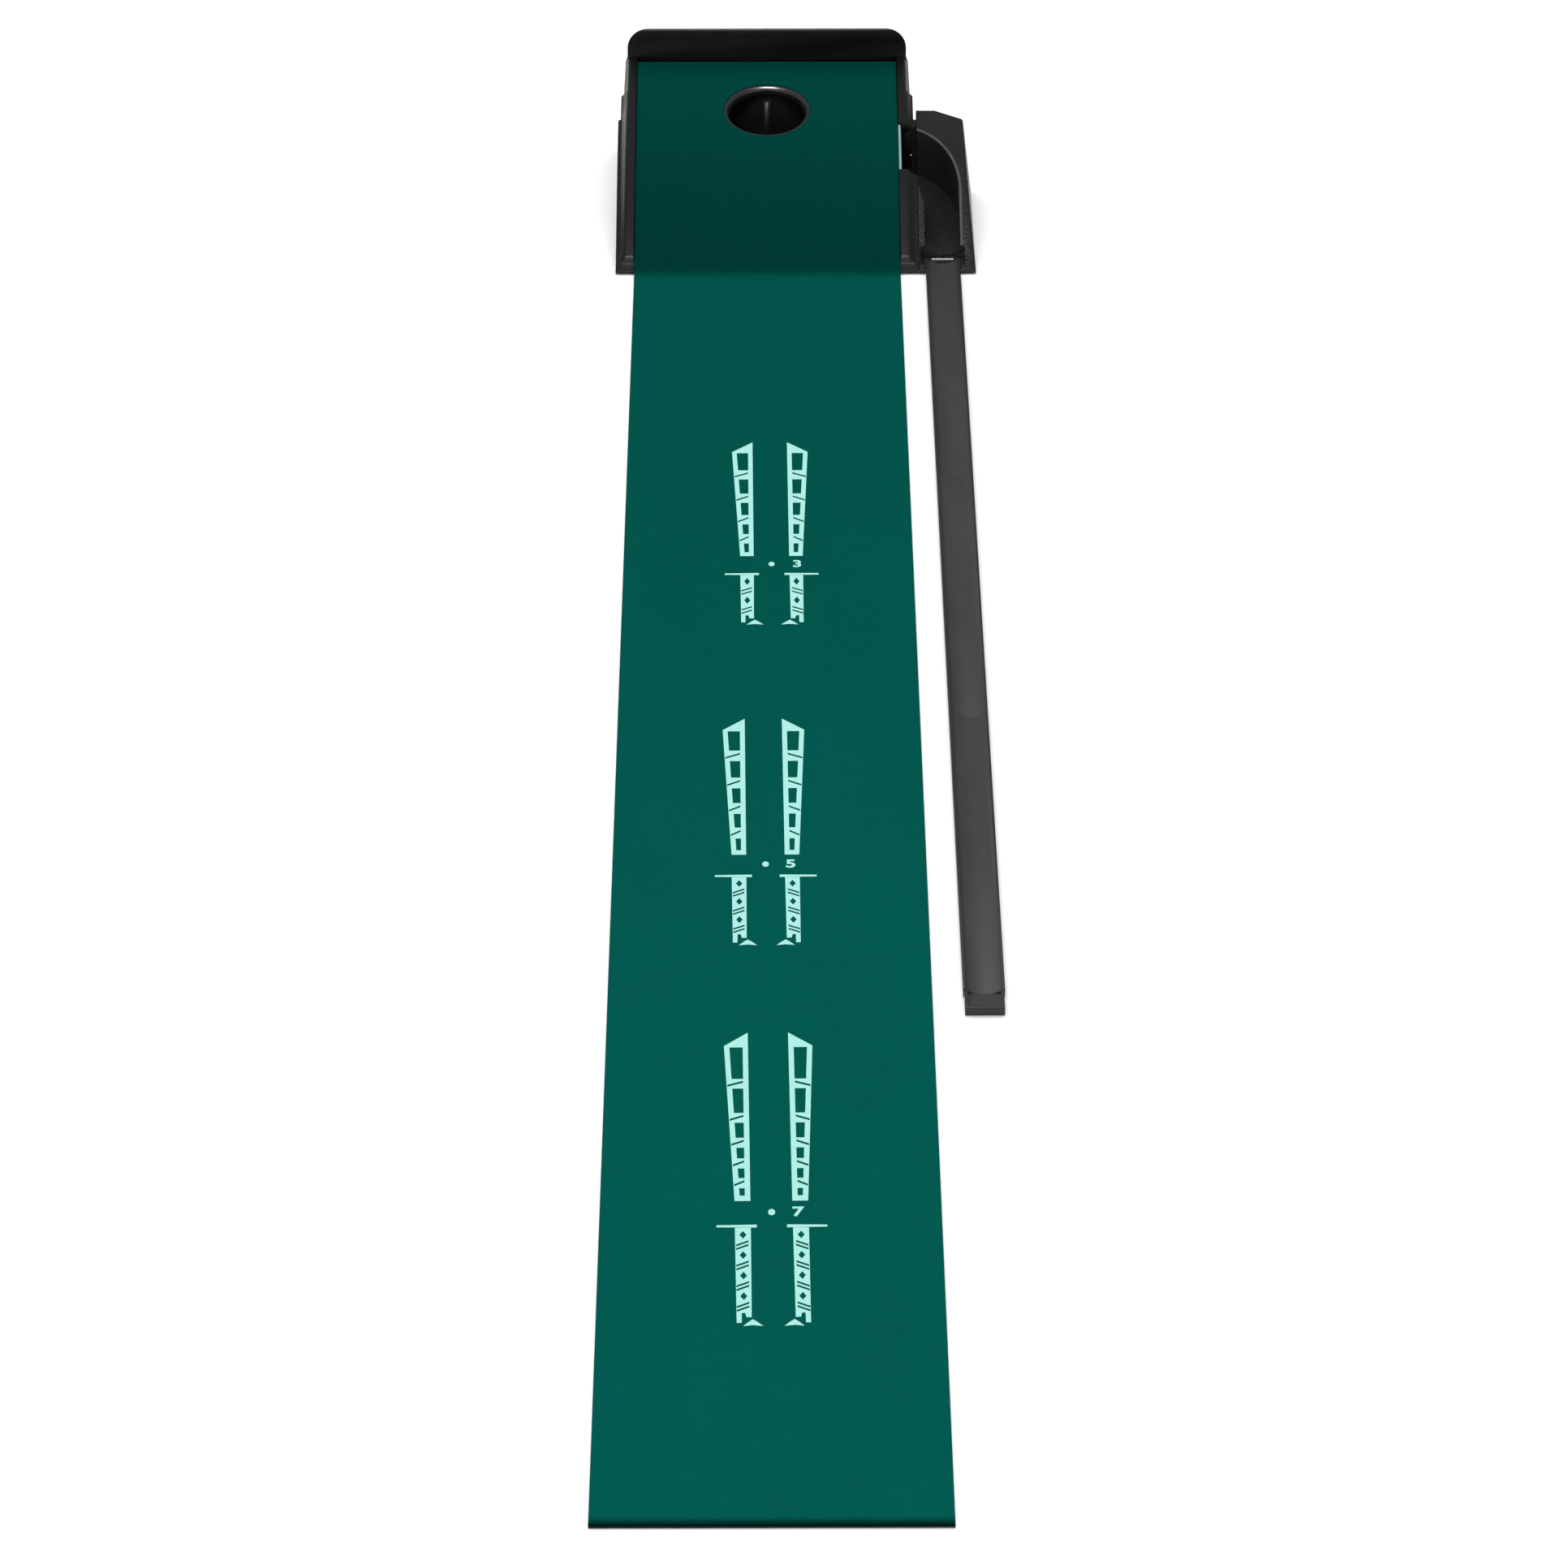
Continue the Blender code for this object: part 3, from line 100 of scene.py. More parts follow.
# ---- materials ----------------------------------------------------------------------------------
class Surface:
    """Small helper that wires procedural nodes into one Principled shader."""

    def __init__(self, name, colour, roughness):
        self.material = bpy.data.materials.new(name)
        self.material.use_nodes = True
        self.tree = self.material.node_tree
        self.shader = self.tree.nodes["Principled BSDF"]
        self.shader.inputs["Roughness"].default_value = roughness
        self.shader.inputs["Base Color"].default_value = (*colour, 1.0)
        self.material.diffuse_color = (*colour, 1.0)
        self.coords = self.tree.nodes.new("ShaderNodeTexCoord").outputs["Object"]

    def link(self, source, target):
        self.tree.links.new(source, target)

    def set(self, **values):
        for key, value in values.items():
            self.shader.inputs[key.replace("_", " ")].default_value = value
        return self

    def scaled(self, stretch):
        mapping = self.tree.nodes.new("ShaderNodeMapping")
        mapping.inputs["Scale"].default_value = stretch
        self.link(self.coords, mapping.inputs["Vector"])
        return mapping.outputs["Vector"]

    def noise(self, scale, detail=3.0, rough=0.55, stretch=None):
        node = self.tree.nodes.new("ShaderNodeTexNoise")
        node.inputs["Scale"].default_value = scale
        node.inputs["Detail"].default_value = detail
        node.inputs["Roughness"].default_value = rough
        self.link(self.scaled(stretch) if stretch else self.coords, node.inputs["Vector"])
        return node.outputs["Fac"]

    def cells(self, scale, stretch=None, feature="F1"):
        node = self.tree.nodes.new("ShaderNodeTexVoronoi")
        node.feature = feature
        node.inputs["Scale"].default_value = scale
        self.link(self.scaled(stretch) if stretch else self.coords, node.inputs["Vector"])
        return node.outputs["Distance"]

    def ramp(self, source, stops):
        node = self.tree.nodes.new("ShaderNodeValToRGB")
        node.color_ramp.elements[0].position = stops[0][0]
        node.color_ramp.elements[0].color = (*stops[0][1], 1.0)
        node.color_ramp.elements[1].position = stops[-1][0]
        node.color_ramp.elements[1].color = (*stops[-1][1], 1.0)
        for position, colour in stops[1:-1]:
            node.color_ramp.elements.new(position).color = (*colour, 1.0)
        self.link(source, node.inputs["Fac"])
        return node.outputs["Color"]

    def span(self, source, low, high, start=0.0, end=1.0):
        node = self.tree.nodes.new("ShaderNodeMapRange")
        node.inputs["From Min"].default_value = start
        node.inputs["From Max"].default_value = end
        node.inputs["To Min"].default_value = low
        node.inputs["To Max"].default_value = high
        self.link(source, node.inputs["Value"])
        return node.outputs["Result"]

    def maths(self, operation, one, two):
        node = self.tree.nodes.new("ShaderNodeMath")
        node.operation = operation
        for socket, value in zip(node.inputs, (one, two)):
            if isinstance(value, (int, float)):
                socket.default_value = value
            else:
                self.link(value, socket)
        return node.outputs["Value"]

    def mix(self, share, one, two, blend="MIX"):
        node = self.tree.nodes.new("ShaderNodeMix")
        node.data_type = "RGBA"
        node.blend_type = blend
        for socket, value in ((node.inputs[0], share), (node.inputs[6], one), (node.inputs[7], two)):
            if isinstance(value, (int, float)):
                socket.default_value = value
            elif isinstance(value, tuple):
                socket.default_value = (*value, 1.0)
            else:
                self.link(value, socket)
        return node.outputs[2]

    def colour(self, source):
        self.link(source, self.shader.inputs["Base Color"])
        return self

    def roughness(self, source):
        self.link(source, self.shader.inputs["Roughness"])
        return self

    def bump(self, *layers):
        """Each layer is (height source, distance in metres, strength)."""
        normal = None
        for source, distance, strength in layers:
            node = self.tree.nodes.new("ShaderNodeBump")
            node.inputs["Distance"].default_value = distance
            node.inputs["Strength"].default_value = strength
            self.link(source, node.inputs["Height"])
            if normal is not None:
                self.link(normal, node.inputs["Normal"])
            normal = node.outputs["Normal"]
        self.link(normal, self.shader.inputs["Normal"])
        return self


def shade(colour, factor):
    return tuple(channel * factor for channel in colour)


def moulded(name, colour, rough=0.45, grain=900.0, depth=0.00012, strength=0.5, spread=0.35, shine=0.3):
    """Injection-moulded plastic with a spark-eroded grain, faint flow marks and scuffs."""
    made = Surface(name, colour, rough)
    made.set(Specular_IOR_Level=shine)
    flow = made.noise(9.0, 4.0, 0.6, (1.0, 0.35, 1.0))
    fine = made.noise(grain, 2.0, 0.6)
    scuffs = made.noise(60.0, 6.0, 0.75, (1.0, 0.15, 1.0))
    broad = made.ramp(flow, [(0.3, shade(colour, 1 - spread)), (0.7, shade(colour, 1 + spread))])
    grains = made.ramp(fine, [(0.35, shade(colour, 0.6)), (0.7, shade(colour, 1.6))])
    made.colour(made.mix(0.35, broad, grains))
    dull = made.maths("ADD", made.span(fine, rough - 0.06, rough + 0.08, 0.3, 0.7),
                      made.span(scuffs, 0.0, 0.12, 0.5, 0.8))
    made.roughness(dull)
    made.bump((made.cells(grain * 0.8), depth, strength * 0.6), (fine, depth, strength))
    return made


GREEN = (0.0009, 0.0800, 0.0620)
INK = (0.34, 0.70, 0.64)


def pile_height(surface):
    """Short brushed pile: fine tufts over slower tracks left by rolling and brushing."""
    tufts = surface.cells(1150.0, (1.0, 0.7, 1.0))
    hairs = surface.noise(2100.0, 2.0, 0.6, (1.0, 0.45, 1.0))
    return surface.maths("ADD", surface.maths("MULTIPLY", tufts, -0.8), hairs)


def painted_shade_along_mat(surface, stops):
    """Painted shade along the mat: a grey factor that follows Y and darkens the colour; stops hold (y,
    factor) pairs.
    """
    split = surface.tree.nodes.new("ShaderNodeSeparateXYZ")
    surface.link(surface.coords, split.inputs["Vector"])
    share = surface.span(split.outputs["Y"], 0.0, 1.0, FRONT_Y, BACK_Y)
    return surface.ramp(share, [((y - FRONT_Y) / (BACK_Y - FRONT_Y), (tone, tone, tone))
                                for y, tone in stops])


# Painted shade on the turf, standing for light falling on the slope. From the player's end to the ramp's foot
# the factor goes from 0.95 to 0.78. It drops to 0.44 just up the ramp and lifts to 0.62 by the fence. The
# front cut face is painted dark (0.12), and the back end is back at 0.95.
MAT_PAINTED_SHADE = ((FRONT_Y, 0.12), (FRONT_Y + 0.0012, 0.95), (-1.70, 0.92), (-0.80, 0.79), (FOOT_Y - 0.008, 0.78),
             (FOOT_Y + 0.002, 0.44), (-0.16, 0.47), (-0.03, 0.52), (BACK_Y - 0.004, 0.62), (BACK_Y, 0.95))


def turf_surface():
    made = Surface("turf_pile", GREEN, 0.92)
    broad = made.noise(5.5, 4.0, 0.6, (1.4, 0.5, 1.0))
    patch = made.noise(42.0, 4.0, 0.65)
    fine = made.noise(1300.0, 3.0, 0.7, (1.0, 0.6, 1.0))
    base = made.ramp(broad, [(0.32, (0.0006, 0.0700, 0.0560)), (0.68, (0.0012, 0.0890, 0.0730))])
    base = made.mix(0.45, base, made.ramp(patch, [(0.30, (0.0005, 0.0700, 0.0545)),
                                                   (0.72, (0.0014, 0.0900, 0.0700))]))
    base = made.mix(0.55, base, made.ramp(fine, [(0.28, (0.0003, 0.0480, 0.0370)),
                                                  (0.50, (0.0009, 0.0790, 0.0615)),
                                                  (0.76, (0.0040, 0.1250, 0.1000))]))
    # The turf's colour is multiplied by the painted shade along the mat.
    made.colour(made.mix(1.0, base, painted_shade_along_mat(made, MAT_PAINTED_SHADE), "MULTIPLY"))
    made.bump((patch, 0.0006, 0.25), (pile_height(made), 0.0006, 0.55))
    made.set(Sheen_Weight=0.05, Sheen_Roughness=0.45, Specular_IOR_Level=0.0)
    made.shader.inputs["Sheen Tint"].default_value = (0.02, 0.75, 0.62, 1.0)
    return made


def ink_surface():
    """Ink printed on the pile: the tufts show through it here and there."""
    made = Surface("guide_ink", INK, 0.85)
    fine = made.noise(1500.0, 3.0, 0.7)
    wear_and_rail_shade = made.noise(90.0, 4.0, 0.7)
    holes = made.maths("MULTIPLY", made.span(fine, 0.0, 1.0, 0.60, 0.72),
                       made.span(wear_and_rail_shade, 0.3, 1.0, 0.35, 0.65))
    inked = made.ramp(fine, [(0.30, shade(INK, 0.78)), (0.65, shade(INK, 1.06))])
    made.colour(made.mix(holes, inked, (0.05, 0.30, 0.25)))
    made.bump((pile_height(made), 0.0006, 0.45))
    made.set(Sheen_Weight=0.12, Sheen_Roughness=0.5, Specular_IOR_Level=0.2)
    return made


def backing_surface():
    made = Surface("mat_rubber_weave", (0.012, 0.013, 0.013), 0.85)
    weave = made.cells(620.0)
    made.colour(made.ramp(weave, [(0.1, (0.018, 0.019, 0.019)), (0.8, (0.006, 0.007, 0.007))]))
    made.bump((weave, 0.0003, 0.6), (made.noise(400.0), 0.0002, 0.4))
    return made


def rubber_surface():
    made = Surface("pad_rubber_fine", (0.014, 0.014, 0.014), 0.8)
    made.colour(made.ramp(made.noise(700.0), [(0.3, (0.010, 0.010, 0.010)), (0.7, (0.022, 0.022, 0.022))]))
    made.bump((made.noise(1500.0), 0.0001, 0.5))
    return made


def steel_surface():
    made = Surface("zinc_plate", (0.56, 0.56, 0.58), 0.32)
    made.set(Metallic=1.0)
    made.colour(made.ramp(made.noise(500.0), [(0.3, (0.44, 0.44, 0.46)), (0.7, (0.64, 0.64, 0.66))]))
    made.roughness(made.span(made.noise(900.0), 0.22, 0.45, 0.3, 0.7))
    made.bump((made.noise(1600.0), 0.00004, 0.4))
    return made


def hook_surface():
    made = Surface("hook_and_loop", (0.010, 0.010, 0.010), 0.95)
    loops = made.cells(1000.0)
    made.colour(made.ramp(loops, [(0.1, (0.030, 0.030, 0.031)), (0.8, (0.004, 0.004, 0.004))]))
    made.bump((loops, 0.0006, 0.8))
    made.set(Sheen_Weight=0.1)
    return made


def tracked():
    """The track's plastic with painted shade on its two rails: they are coloured darker than the hollow floor
    between them.
    """
    made = moulded("track_plastic_satin", (0.0300, 0.0302, 0.0306), 0.50, 1000.0, 0.00008, 0.40)
    split = made.tree.nodes.new("ShaderNodeSeparateXYZ")
    made.link(made.coords, split.inputs["Vector"])
    # Painted shade: the higher up, on the rails, the darker the colour.
    wear_and_rail_shade = made.span(split.outputs["Z"], 1.0, 0.35, 0.0060, 0.0092)
    tone = made.shader.inputs["Base Color"].links[0].from_socket
    made.colour(made.mix(wear_and_rail_shade, (0.0060, 0.0060, 0.0064), tone))
    return made


SHELL = moulded("shell_plastic", (0.0062, 0.0064, 0.0072), 0.38, 700.0, 0.00014, 0.5, shine=0.24)
CHUTE = moulded("chute_plastic_grain", (0.0098, 0.0098, 0.0102), 0.36, 420.0, 0.00080, 0.9, 0.85, 0.28)
FENCE = moulded("fence_plastic_satin", (0.0030, 0.0030, 0.0036), 0.34, 1200.0, 0.00006, 0.35, shine=0.12)
TRACKS = tracked()
# Painted highlight: the bead on the scoop's rim is coloured far paler than the chute's plastic.
SCOOP_RIM_PAINTED_HIGHLIGHT = moulded("scoop_rim_painted_highlight", (0.0550, 0.0555, 0.0560), 0.34, 500.0, 0.00020, 0.5, 0.5, 0.7)
# Painted highlight: the lip across the trough over the track is coloured pale grey.
TROUGH_LIP_PAINTED_HIGHLIGHT = moulded("trough_lip_painted_highlight", (0.1500, 0.1510, 0.1530), 0.30, 900.0, 0.00003, 0.2, 0.2, 0.9)
LIP = moulded("cup_lip_gloss", (0.0100, 0.0100, 0.0104), 0.26, 1400.0, 0.00003, 0.2, shine=1.0)
# Painted highlight: the strip at the ramp's side opening is coloured pale green.
OPENING_EDGE_PAINTED_HIGHLIGHT = moulded("opening_edge_painted_highlight", (0.2400, 0.3600, 0.3300), 0.60, 1400.0, 0.00005, 0.30)
TURF = turf_surface()
PRINT = ink_surface()
BACKING_RUBBER = backing_surface()
RUBBER = rubber_surface()
STEEL = steel_surface()
HOOKS = hook_surface()


# ---- mesh helpers -------------------------------------------------------------------------------
def dress(node_name, surface):
    """Gives a CAD node a finished material."""
    slots = nodes[node_name].material_slots
    for slot in slots:
        slot.material = surface.material


def new_piece(name, mesh, surface, body):
    """A finished object with its material, slot and body."""
    made = bpy.data.objects.new(name, mesh)
    SCENE.collection.objects.link(made)
    mesh.materials.clear()
    mesh.materials.append(surface.material)
    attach(made, body)
    return made


def as_mesh(name, shape):
    bmesh.ops.recalc_face_normals(shape, faces=shape.faces)
    mesh = bpy.data.meshes.new(name)
    shape.to_mesh(mesh)
    shape.free()
    return mesh


def smooth(mesh, angle=35.0):
    mesh.shade_smooth()
    mesh.set_sharp_from_angle(angle=math.radians(angle))


def loft(name, rings, closed=False, smooth_angle=35.0):
    """Skins rings of equal length; closed joins the last to the first, else both ends are capped."""
    shape = bmesh.new()
    loops = [[shape.verts.new(point) for point in ring] for ring in rings]
    pairs = list(zip(loops, loops[1:]))
    if closed:
        pairs.append((loops[-1], loops[0]))
    count = len(loops[0])
    for near, far in pairs:
        for i in range(count):
            j = (i + 1) % count
            shape.faces.new((near[i], near[j], far[j], far[i]))
    if not closed:
        shape.faces.new(loops[0])
        shape.faces.new(loops[-1])
    mesh = as_mesh(name, shape)
    smooth(mesh, smooth_angle)
    return mesh


def cut(target, name, rings):
    """Takes the solid that the rings bound out of the target's mesh."""
    tool = bpy.data.objects.new(name, loft(name, rings))
    SCENE.collection.objects.link(tool)
    step = target.modifiers.new(name, "BOOLEAN")
    step.operation = "DIFFERENCE"
    step.solver = "EXACT"
    step.object = tool
    graph = bpy.context.evaluated_depsgraph_get()
    mesh = bpy.data.meshes.new_from_object(target.evaluated_get(graph))
    target.modifiers.clear()
    target.data = mesh
    bpy.data.objects.remove(tool, do_unlink=True)


def refined(node_name, surface, body, bevel=0.0004, segments=2, angle=32.0):
    """Copy of a CAD node with its hard edges rounded, standing for the node."""
    shape = bmesh.new()
    shape.from_mesh(nodes[node_name].data)
    bmesh.ops.remove_doubles(shape, verts=shape.verts, dist=WELD)
    bmesh.ops.dissolve_limit(shape, angle_limit=math.radians(0.4), verts=shape.verts, edges=shape.edges)
    sharp = [edge for edge in shape.edges
             if len(edge.link_faces) == 2 and edge.calc_face_angle(0.0) > math.radians(angle)]
    if bevel:
        bmesh.ops.bevel(shape, geom=sharp, offset=bevel, offset_type="OFFSET", segments=segments,
                        profile=0.5, affect="EDGES", clamp_overlap=True, harden_normals=False)
    mesh = as_mesh(node_name + "_finish", shape)
    smooth(mesh, 38.0)
    made = new_piece(node_name + "_finish", mesh, surface, body)
    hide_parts(node_name)
    return made


# ---- mat ----------------------------------------------------------------------------------------
def path_stations(start, end, step):
    """Y values that keep the CAD profile's own breaks and are no further apart than step."""
    breaks = [start] + [y for y, _ in TURF_UNDER if start + 0.0005 < y < end - 0.0005] + [end]
    stations = [breaks[0]]
    for y0, y1 in zip(breaks, breaks[1:]):
        parts = max(1, math.ceil((y1 - y0) / step))
        stations += [y0 + (y1 - y0) * (i + 1) / parts for i in range(parts)]
    return stations


def nap(x, y):
    """Relief left in the pile by brushing."""
    slow = noise.noise(Vector((x * 28.0, y * 11.0, 3.0)))
    quick = noise.noise(Vector((x * 310.0, y * 260.0, 9.0)))
    return 0.00005 * slow + 0.00009 * quick


def build_turf():
    """The green pile as one sheet, with rounded edges and a relief, laid along the CAD profile."""
    step = 0.0042
    across = round(2 * MAT_HALF / step)
    edge = 0.0009
    rings = []
    for y in path_stations(FRONT_Y, BACK_Y, step):
        under = Vector((0.0, y, height_on(TURF_UNDER, y)))
        normal = turf_normal(y)
        ends = min((y - FRONT_Y), (BACK_Y - y))
        round_end = edge * (1 - min(ends / 0.0015, 1.0)) ** 2 * 0.5
        top = PILE - round_end
        outline = [(-MAT_HALF, 0.0), (-MAT_HALF, top - edge), (-MAT_HALF + edge * 0.3, top - edge * 0.3)]
        for i in range(across + 1):
            x = -MAT_HALF + edge + (2 * MAT_HALF - 2 * edge) * i / across
            outline.append((x, top + nap(x, y)))
        outline += [(MAT_HALF - edge * 0.3, top - edge * 0.3), (MAT_HALF, top - edge), (MAT_HALF, 0.0)]
        rings.append([under + Vector((x, 0.0, 0.0)) + normal * z for x, z in outline])
    mesh = loft("turf_sheet", rings, smooth_angle=60.0)
    made = bpy.data.objects.new("turf_sheet", mesh)
    SCENE.collection.objects.link(made)
    cut(made, "cup_tool", cup_rings(-0.02, 0.03))
    smooth(made.data, 60.0)
    made.data.materials.clear()
    made.data.materials.append(TURF.material)
    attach(made, "mat")
    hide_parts("turf")
    return made


CUP_RADIUS = 0.0506     # the hole in the turf
CUP_SIDES = 96
CUP_NORMAL = turf_normal(0.0)
CUP_CENTRE = Vector((0.0, 0.0, height_on(TURF_UNDER, 0.0)))


def cup_rings(low, high):
    """Two circles of the hole's radius, at these heights over the turf's underside."""
    frame_axes = CUP_NORMAL.to_track_quat("Z", "Y").to_matrix()
    rings = []
    for offset in (low, high):
        ring = []
        for i in range(CUP_SIDES):
            angle = math.tau * i / CUP_SIDES
            out = Vector((CUP_RADIUS * math.cos(angle), CUP_RADIUS * math.sin(angle), 0.0))
            ring.append(CUP_CENTRE + CUP_NORMAL * offset + frame_axes @ out)
        rings.append(ring)
    return rings


def cup_band(name, outline, surface):
    """Ring round the cup's axis; outline holds (radius, height over the turf's underside) pairs."""
    frame_axes = CUP_NORMAL.to_track_quat("Z", "Y").to_matrix()
    rings = []
    for i in range(CUP_SIDES):
        angle = math.tau * i / CUP_SIDES
        out = frame_axes @ Vector((math.cos(angle), math.sin(angle), 0.0))
        rings.append([CUP_CENTRE + out * radius + CUP_NORMAL * height for radius, height in outline])
    return new_piece(name, loft(name, rings, closed=True, smooth_angle=50.0), surface,
                     "base")


# ---- printed guides -----------------------------------------------------------------------------
INK_LIFT = 0.00022
INK_HALF = 0.00006
LINE = 0.0049


def guide_splines(sign, upper, cells, lower, ropes):
    """Outlines, in metres from the dot, of one side's ladders; sign is -1 on the left."""
    inner, bottom_outer, top_outer = 0.0188, 0.0330, 0.0411
    base, peak, shoulder = 0.0180, upper, upper - 0.0228

    def outer(y):
        return bottom_outer + (top_outer - bottom_outer) * (y - base) / (shoulder - base)

    shapes = [[(inner, base), (outer(base), base), (outer(shoulder), shoulder), (inner, peak)]]
    rung = (shoulder - base - 0.0110 - sum(cells)) / (len(cells) - 1)
    top = shoulder - 0.0025
    for i, height in enumerate(cells):
        low = top - height
        left, right = inner + LINE, lambda y: outer(y) - LINE
        shapes.append([(left, top), (right(top), top), (right(low), low), (left, low)])
        if i < len(cells) - 1:
            middle = low - rung / 2
            slit, drop, far = 0.0017, rung * 0.2, right(middle) + LINE * 0.86
            shapes.append([(left + 0.0002, middle + slit + drop), (far, middle + slit - drop),
                           (far, middle - slit - drop), (left + 0.0002, middle - slit + drop)])
        top = low - rung
    bar, bar_half = -0.0220, 0.0023
    shapes.append([(0.0135, bar + bar_half), (0.0494, bar + bar_half * 0.7), (0.0494, bar - bar_half * 0.7),
                   (0.0135, bar - bar_half)])
    leg_outer, leg_inner = -lower, 0.0085 - lower
    start = bar - bar_half - 0.0002
    shapes.append([(inner, start), (bottom_outer, start), (bottom_outer - 0.0006, leg_outer),
                   (bottom_outer - 0.0050, leg_outer), (bottom_outer - LINE - 0.0002, leg_outer + 0.0150),
                   (inner + LINE + 0.0012, leg_outer + 0.0150), (inner + LINE, leg_inner),
                   (inner + 0.0004, leg_inner)])
    left, right = inner + LINE * 0.9, bottom_outer - LINE * 0.9
    pitch = (start - 0.004 - (leg_outer + 0.016)) / ropes
    middle = (left + right) / 2
    for i in range(ropes):
        y = start - 0.003 - pitch * (i + 0.26)
        tall = pitch * 0.19
        shapes.append([(middle, y + tall), (middle + 0.0032, y), (middle, y - tall), (middle - 0.0032, y)])
        for k in (0.42, 0.60):
            slit = y - pitch * k
            shapes.append([(left - 0.0022, slit + 0.0048), (left - 0.0022, slit + 0.0018),
                           (right + 0.0036, slit - 0.0048), (right + 0.0036, slit - 0.0018)])
    toe = inner - 0.0006
    shapes.append([(toe - 0.0090, leg_outer - 0.0050), (toe - 0.0040, leg_outer + 0.0012),
                   (toe, leg_inner - 0.0032), (toe + 0.0042, leg_outer + 0.0008),
                   (toe + 0.0086, leg_outer - 0.0050), (toe, leg_outer - 0.0036)])
    return [[(sign * x, y) for x, y in shape] for shape in shapes]


def filled(name, shapes, origin):
    """Flat printed shapes; an outline inside another is a hole."""
    curve = bpy.data.curves.new(name, "CURVE")
    curve.dimensions = "2D"
    curve.fill_mode = "BOTH"
    curve.extrude = INK_HALF
    for shape in shapes:
        spline = curve.splines.new("POLY")
        spline.points.add(len(shape) - 1)
        for point, (x, y) in zip(spline.points, shape):
            point.co = (x, y, 0.0, 1.0)
        spline.use_cyclic_u = True
    holder = bpy.data.objects.new(name, curve)
    SCENE.collection.objects.link(holder)
    return settle(holder, origin)


def settle(holder, origin):
    """Turns a curve or text into mesh data standing at origin and removes the holder."""
    graph = bpy.context.evaluated_depsgraph_get()
    mesh = bpy.data.meshes.new_from_object(holder.evaluated_get(graph))
    mesh.transform(Matrix.Translation(origin))
    bpy.data.objects.remove(holder, do_unlink=True)
    return mesh


def numeral(text, height, origin):
    """One figure in Blender's own plain face, centred on origin."""
    font = bpy.data.curves.new("numeral", "FONT")
    font.body = text
    font.size = height / 0.69
    font.align_x = "CENTER"
    font.align_y = "CENTER"
    font.extrude = INK_HALF
    font.offset = height * 0.045
    holder = bpy.data.objects.new("numeral", font)
    holder.scale = (1.05, 1.0, 1.0)
    SCENE.collection.objects.link(holder)
    bpy.context.view_layer.update()
    return settle(holder, origin)


def oval(half_width, half_length, count=28):
    return [(half_width * math.cos(math.tau * i / count), half_length * math.sin(math.tau * i / count))
            for i in range(count)]


def joined(name, meshes):
    shape = bmesh.new()
    for mesh in meshes:
        shape.from_mesh(mesh)
    bmesh.ops.remove_doubles(shape, verts=shape.verts, dist=0.0000015)
    return as_mesh(name, shape)


# label, centre x and y, peak, cell heights, lower legs' end, diamonds, numeral's x, turn in degrees
GUIDES = (("3", 0.0033, -0.9512, 0.2795, (0.0405, 0.0330, 0.0280, 0.0220, 0.0196), 0.1270, 2, 0.0270, 0.30),
          ("5", -0.0038, -1.5658, 0.2855, (0.0390, 0.0330, 0.0290, 0.0267, 0.0225), 0.1450, 3, 0.0245, 0.40),
          ("7", 0.0008, -2.1695, 0.2985, (0.0540, 0.0410, 0.0250, 0.0176, 0.0158, 0.0120), 0.1715, 4, 0.0235,
           0.55))


def build_guides():
    prints = []
    for label, x, y, upper, cells, lower, ropes, aside, turn in GUIDES:
        origin = Vector((x, y, FLAT_TOP + INK_LIFT))
        meshes = []
        for sign in (-1, 1):
            meshes.append(filled("guide", guide_splines(sign, upper, cells, lower, ropes), origin))
        meshes.append(filled("dot", [oval(0.0032, 0.0050)], origin))
        meshes.append(numeral(label, 0.0142, origin + Vector((aside, 0.0, 0.0))))
        mesh = joined(f"guide_print_{label}", meshes)
        mesh.transform(Matrix.Translation(origin) @ Matrix.Rotation(math.radians(turn), 4, "Z")
                       @ Matrix.Translation(-origin))
        made = new_piece(f"guide_print_{label}", mesh, PRINT, "mat")
        prints.append(made)
    return prints


# ---- backing, beads, screws ---------------------------------------------------------------------
BACKING_UNDER = sorted(underside("mat_backing_floor") + underside("mat_backing_ramp"))
BACKING = backing_high.z - backing_low.z


def build_backing():
    """The mat's rubber underlayer as one sheet, with a waffle pressed into its underside."""
    step = 0.006
    across = round(2 * MAT_HALF / step)
    rings = []
    for y in path_stations(FRONT_Y, BACK_Y, step):
        under = Vector((0.0, y, height_on(BACKING_UNDER, y)))
        normal = turf_normal(y)
        outline = [(MAT_HALF, 0.0004), (MAT_HALF, BACKING - 0.0003), (MAT_HALF - 0.0003, BACKING),
                   (0.0003 - MAT_HALF, BACKING), (-MAT_HALF, BACKING - 0.0003), (-MAT_HALF, 0.0004)]
        for i in range(across + 1):
            x = -MAT_HALF + 0.0004 + (2 * MAT_HALF - 0.0008) * i / across
            outline.append((x, 0.0001 * (i % 2)))
        rings.append([under + Vector((x, 0.0, 0.0)) + normal * z for x, z in outline])
    made = bpy.data.objects.new("backing_sheet", loft("backing_sheet", rings, smooth_angle=30.0))
    SCENE.collection.objects.link(made)
    cut(made, "cup_tool", cup_rings(-0.02, 0.03))
    made.data.materials.clear()
    made.data.materials.append(BACKING_RUBBER.material)
    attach(made, "mat")
    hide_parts("mat_backing_floor", "mat_backing_ramp")
    return made


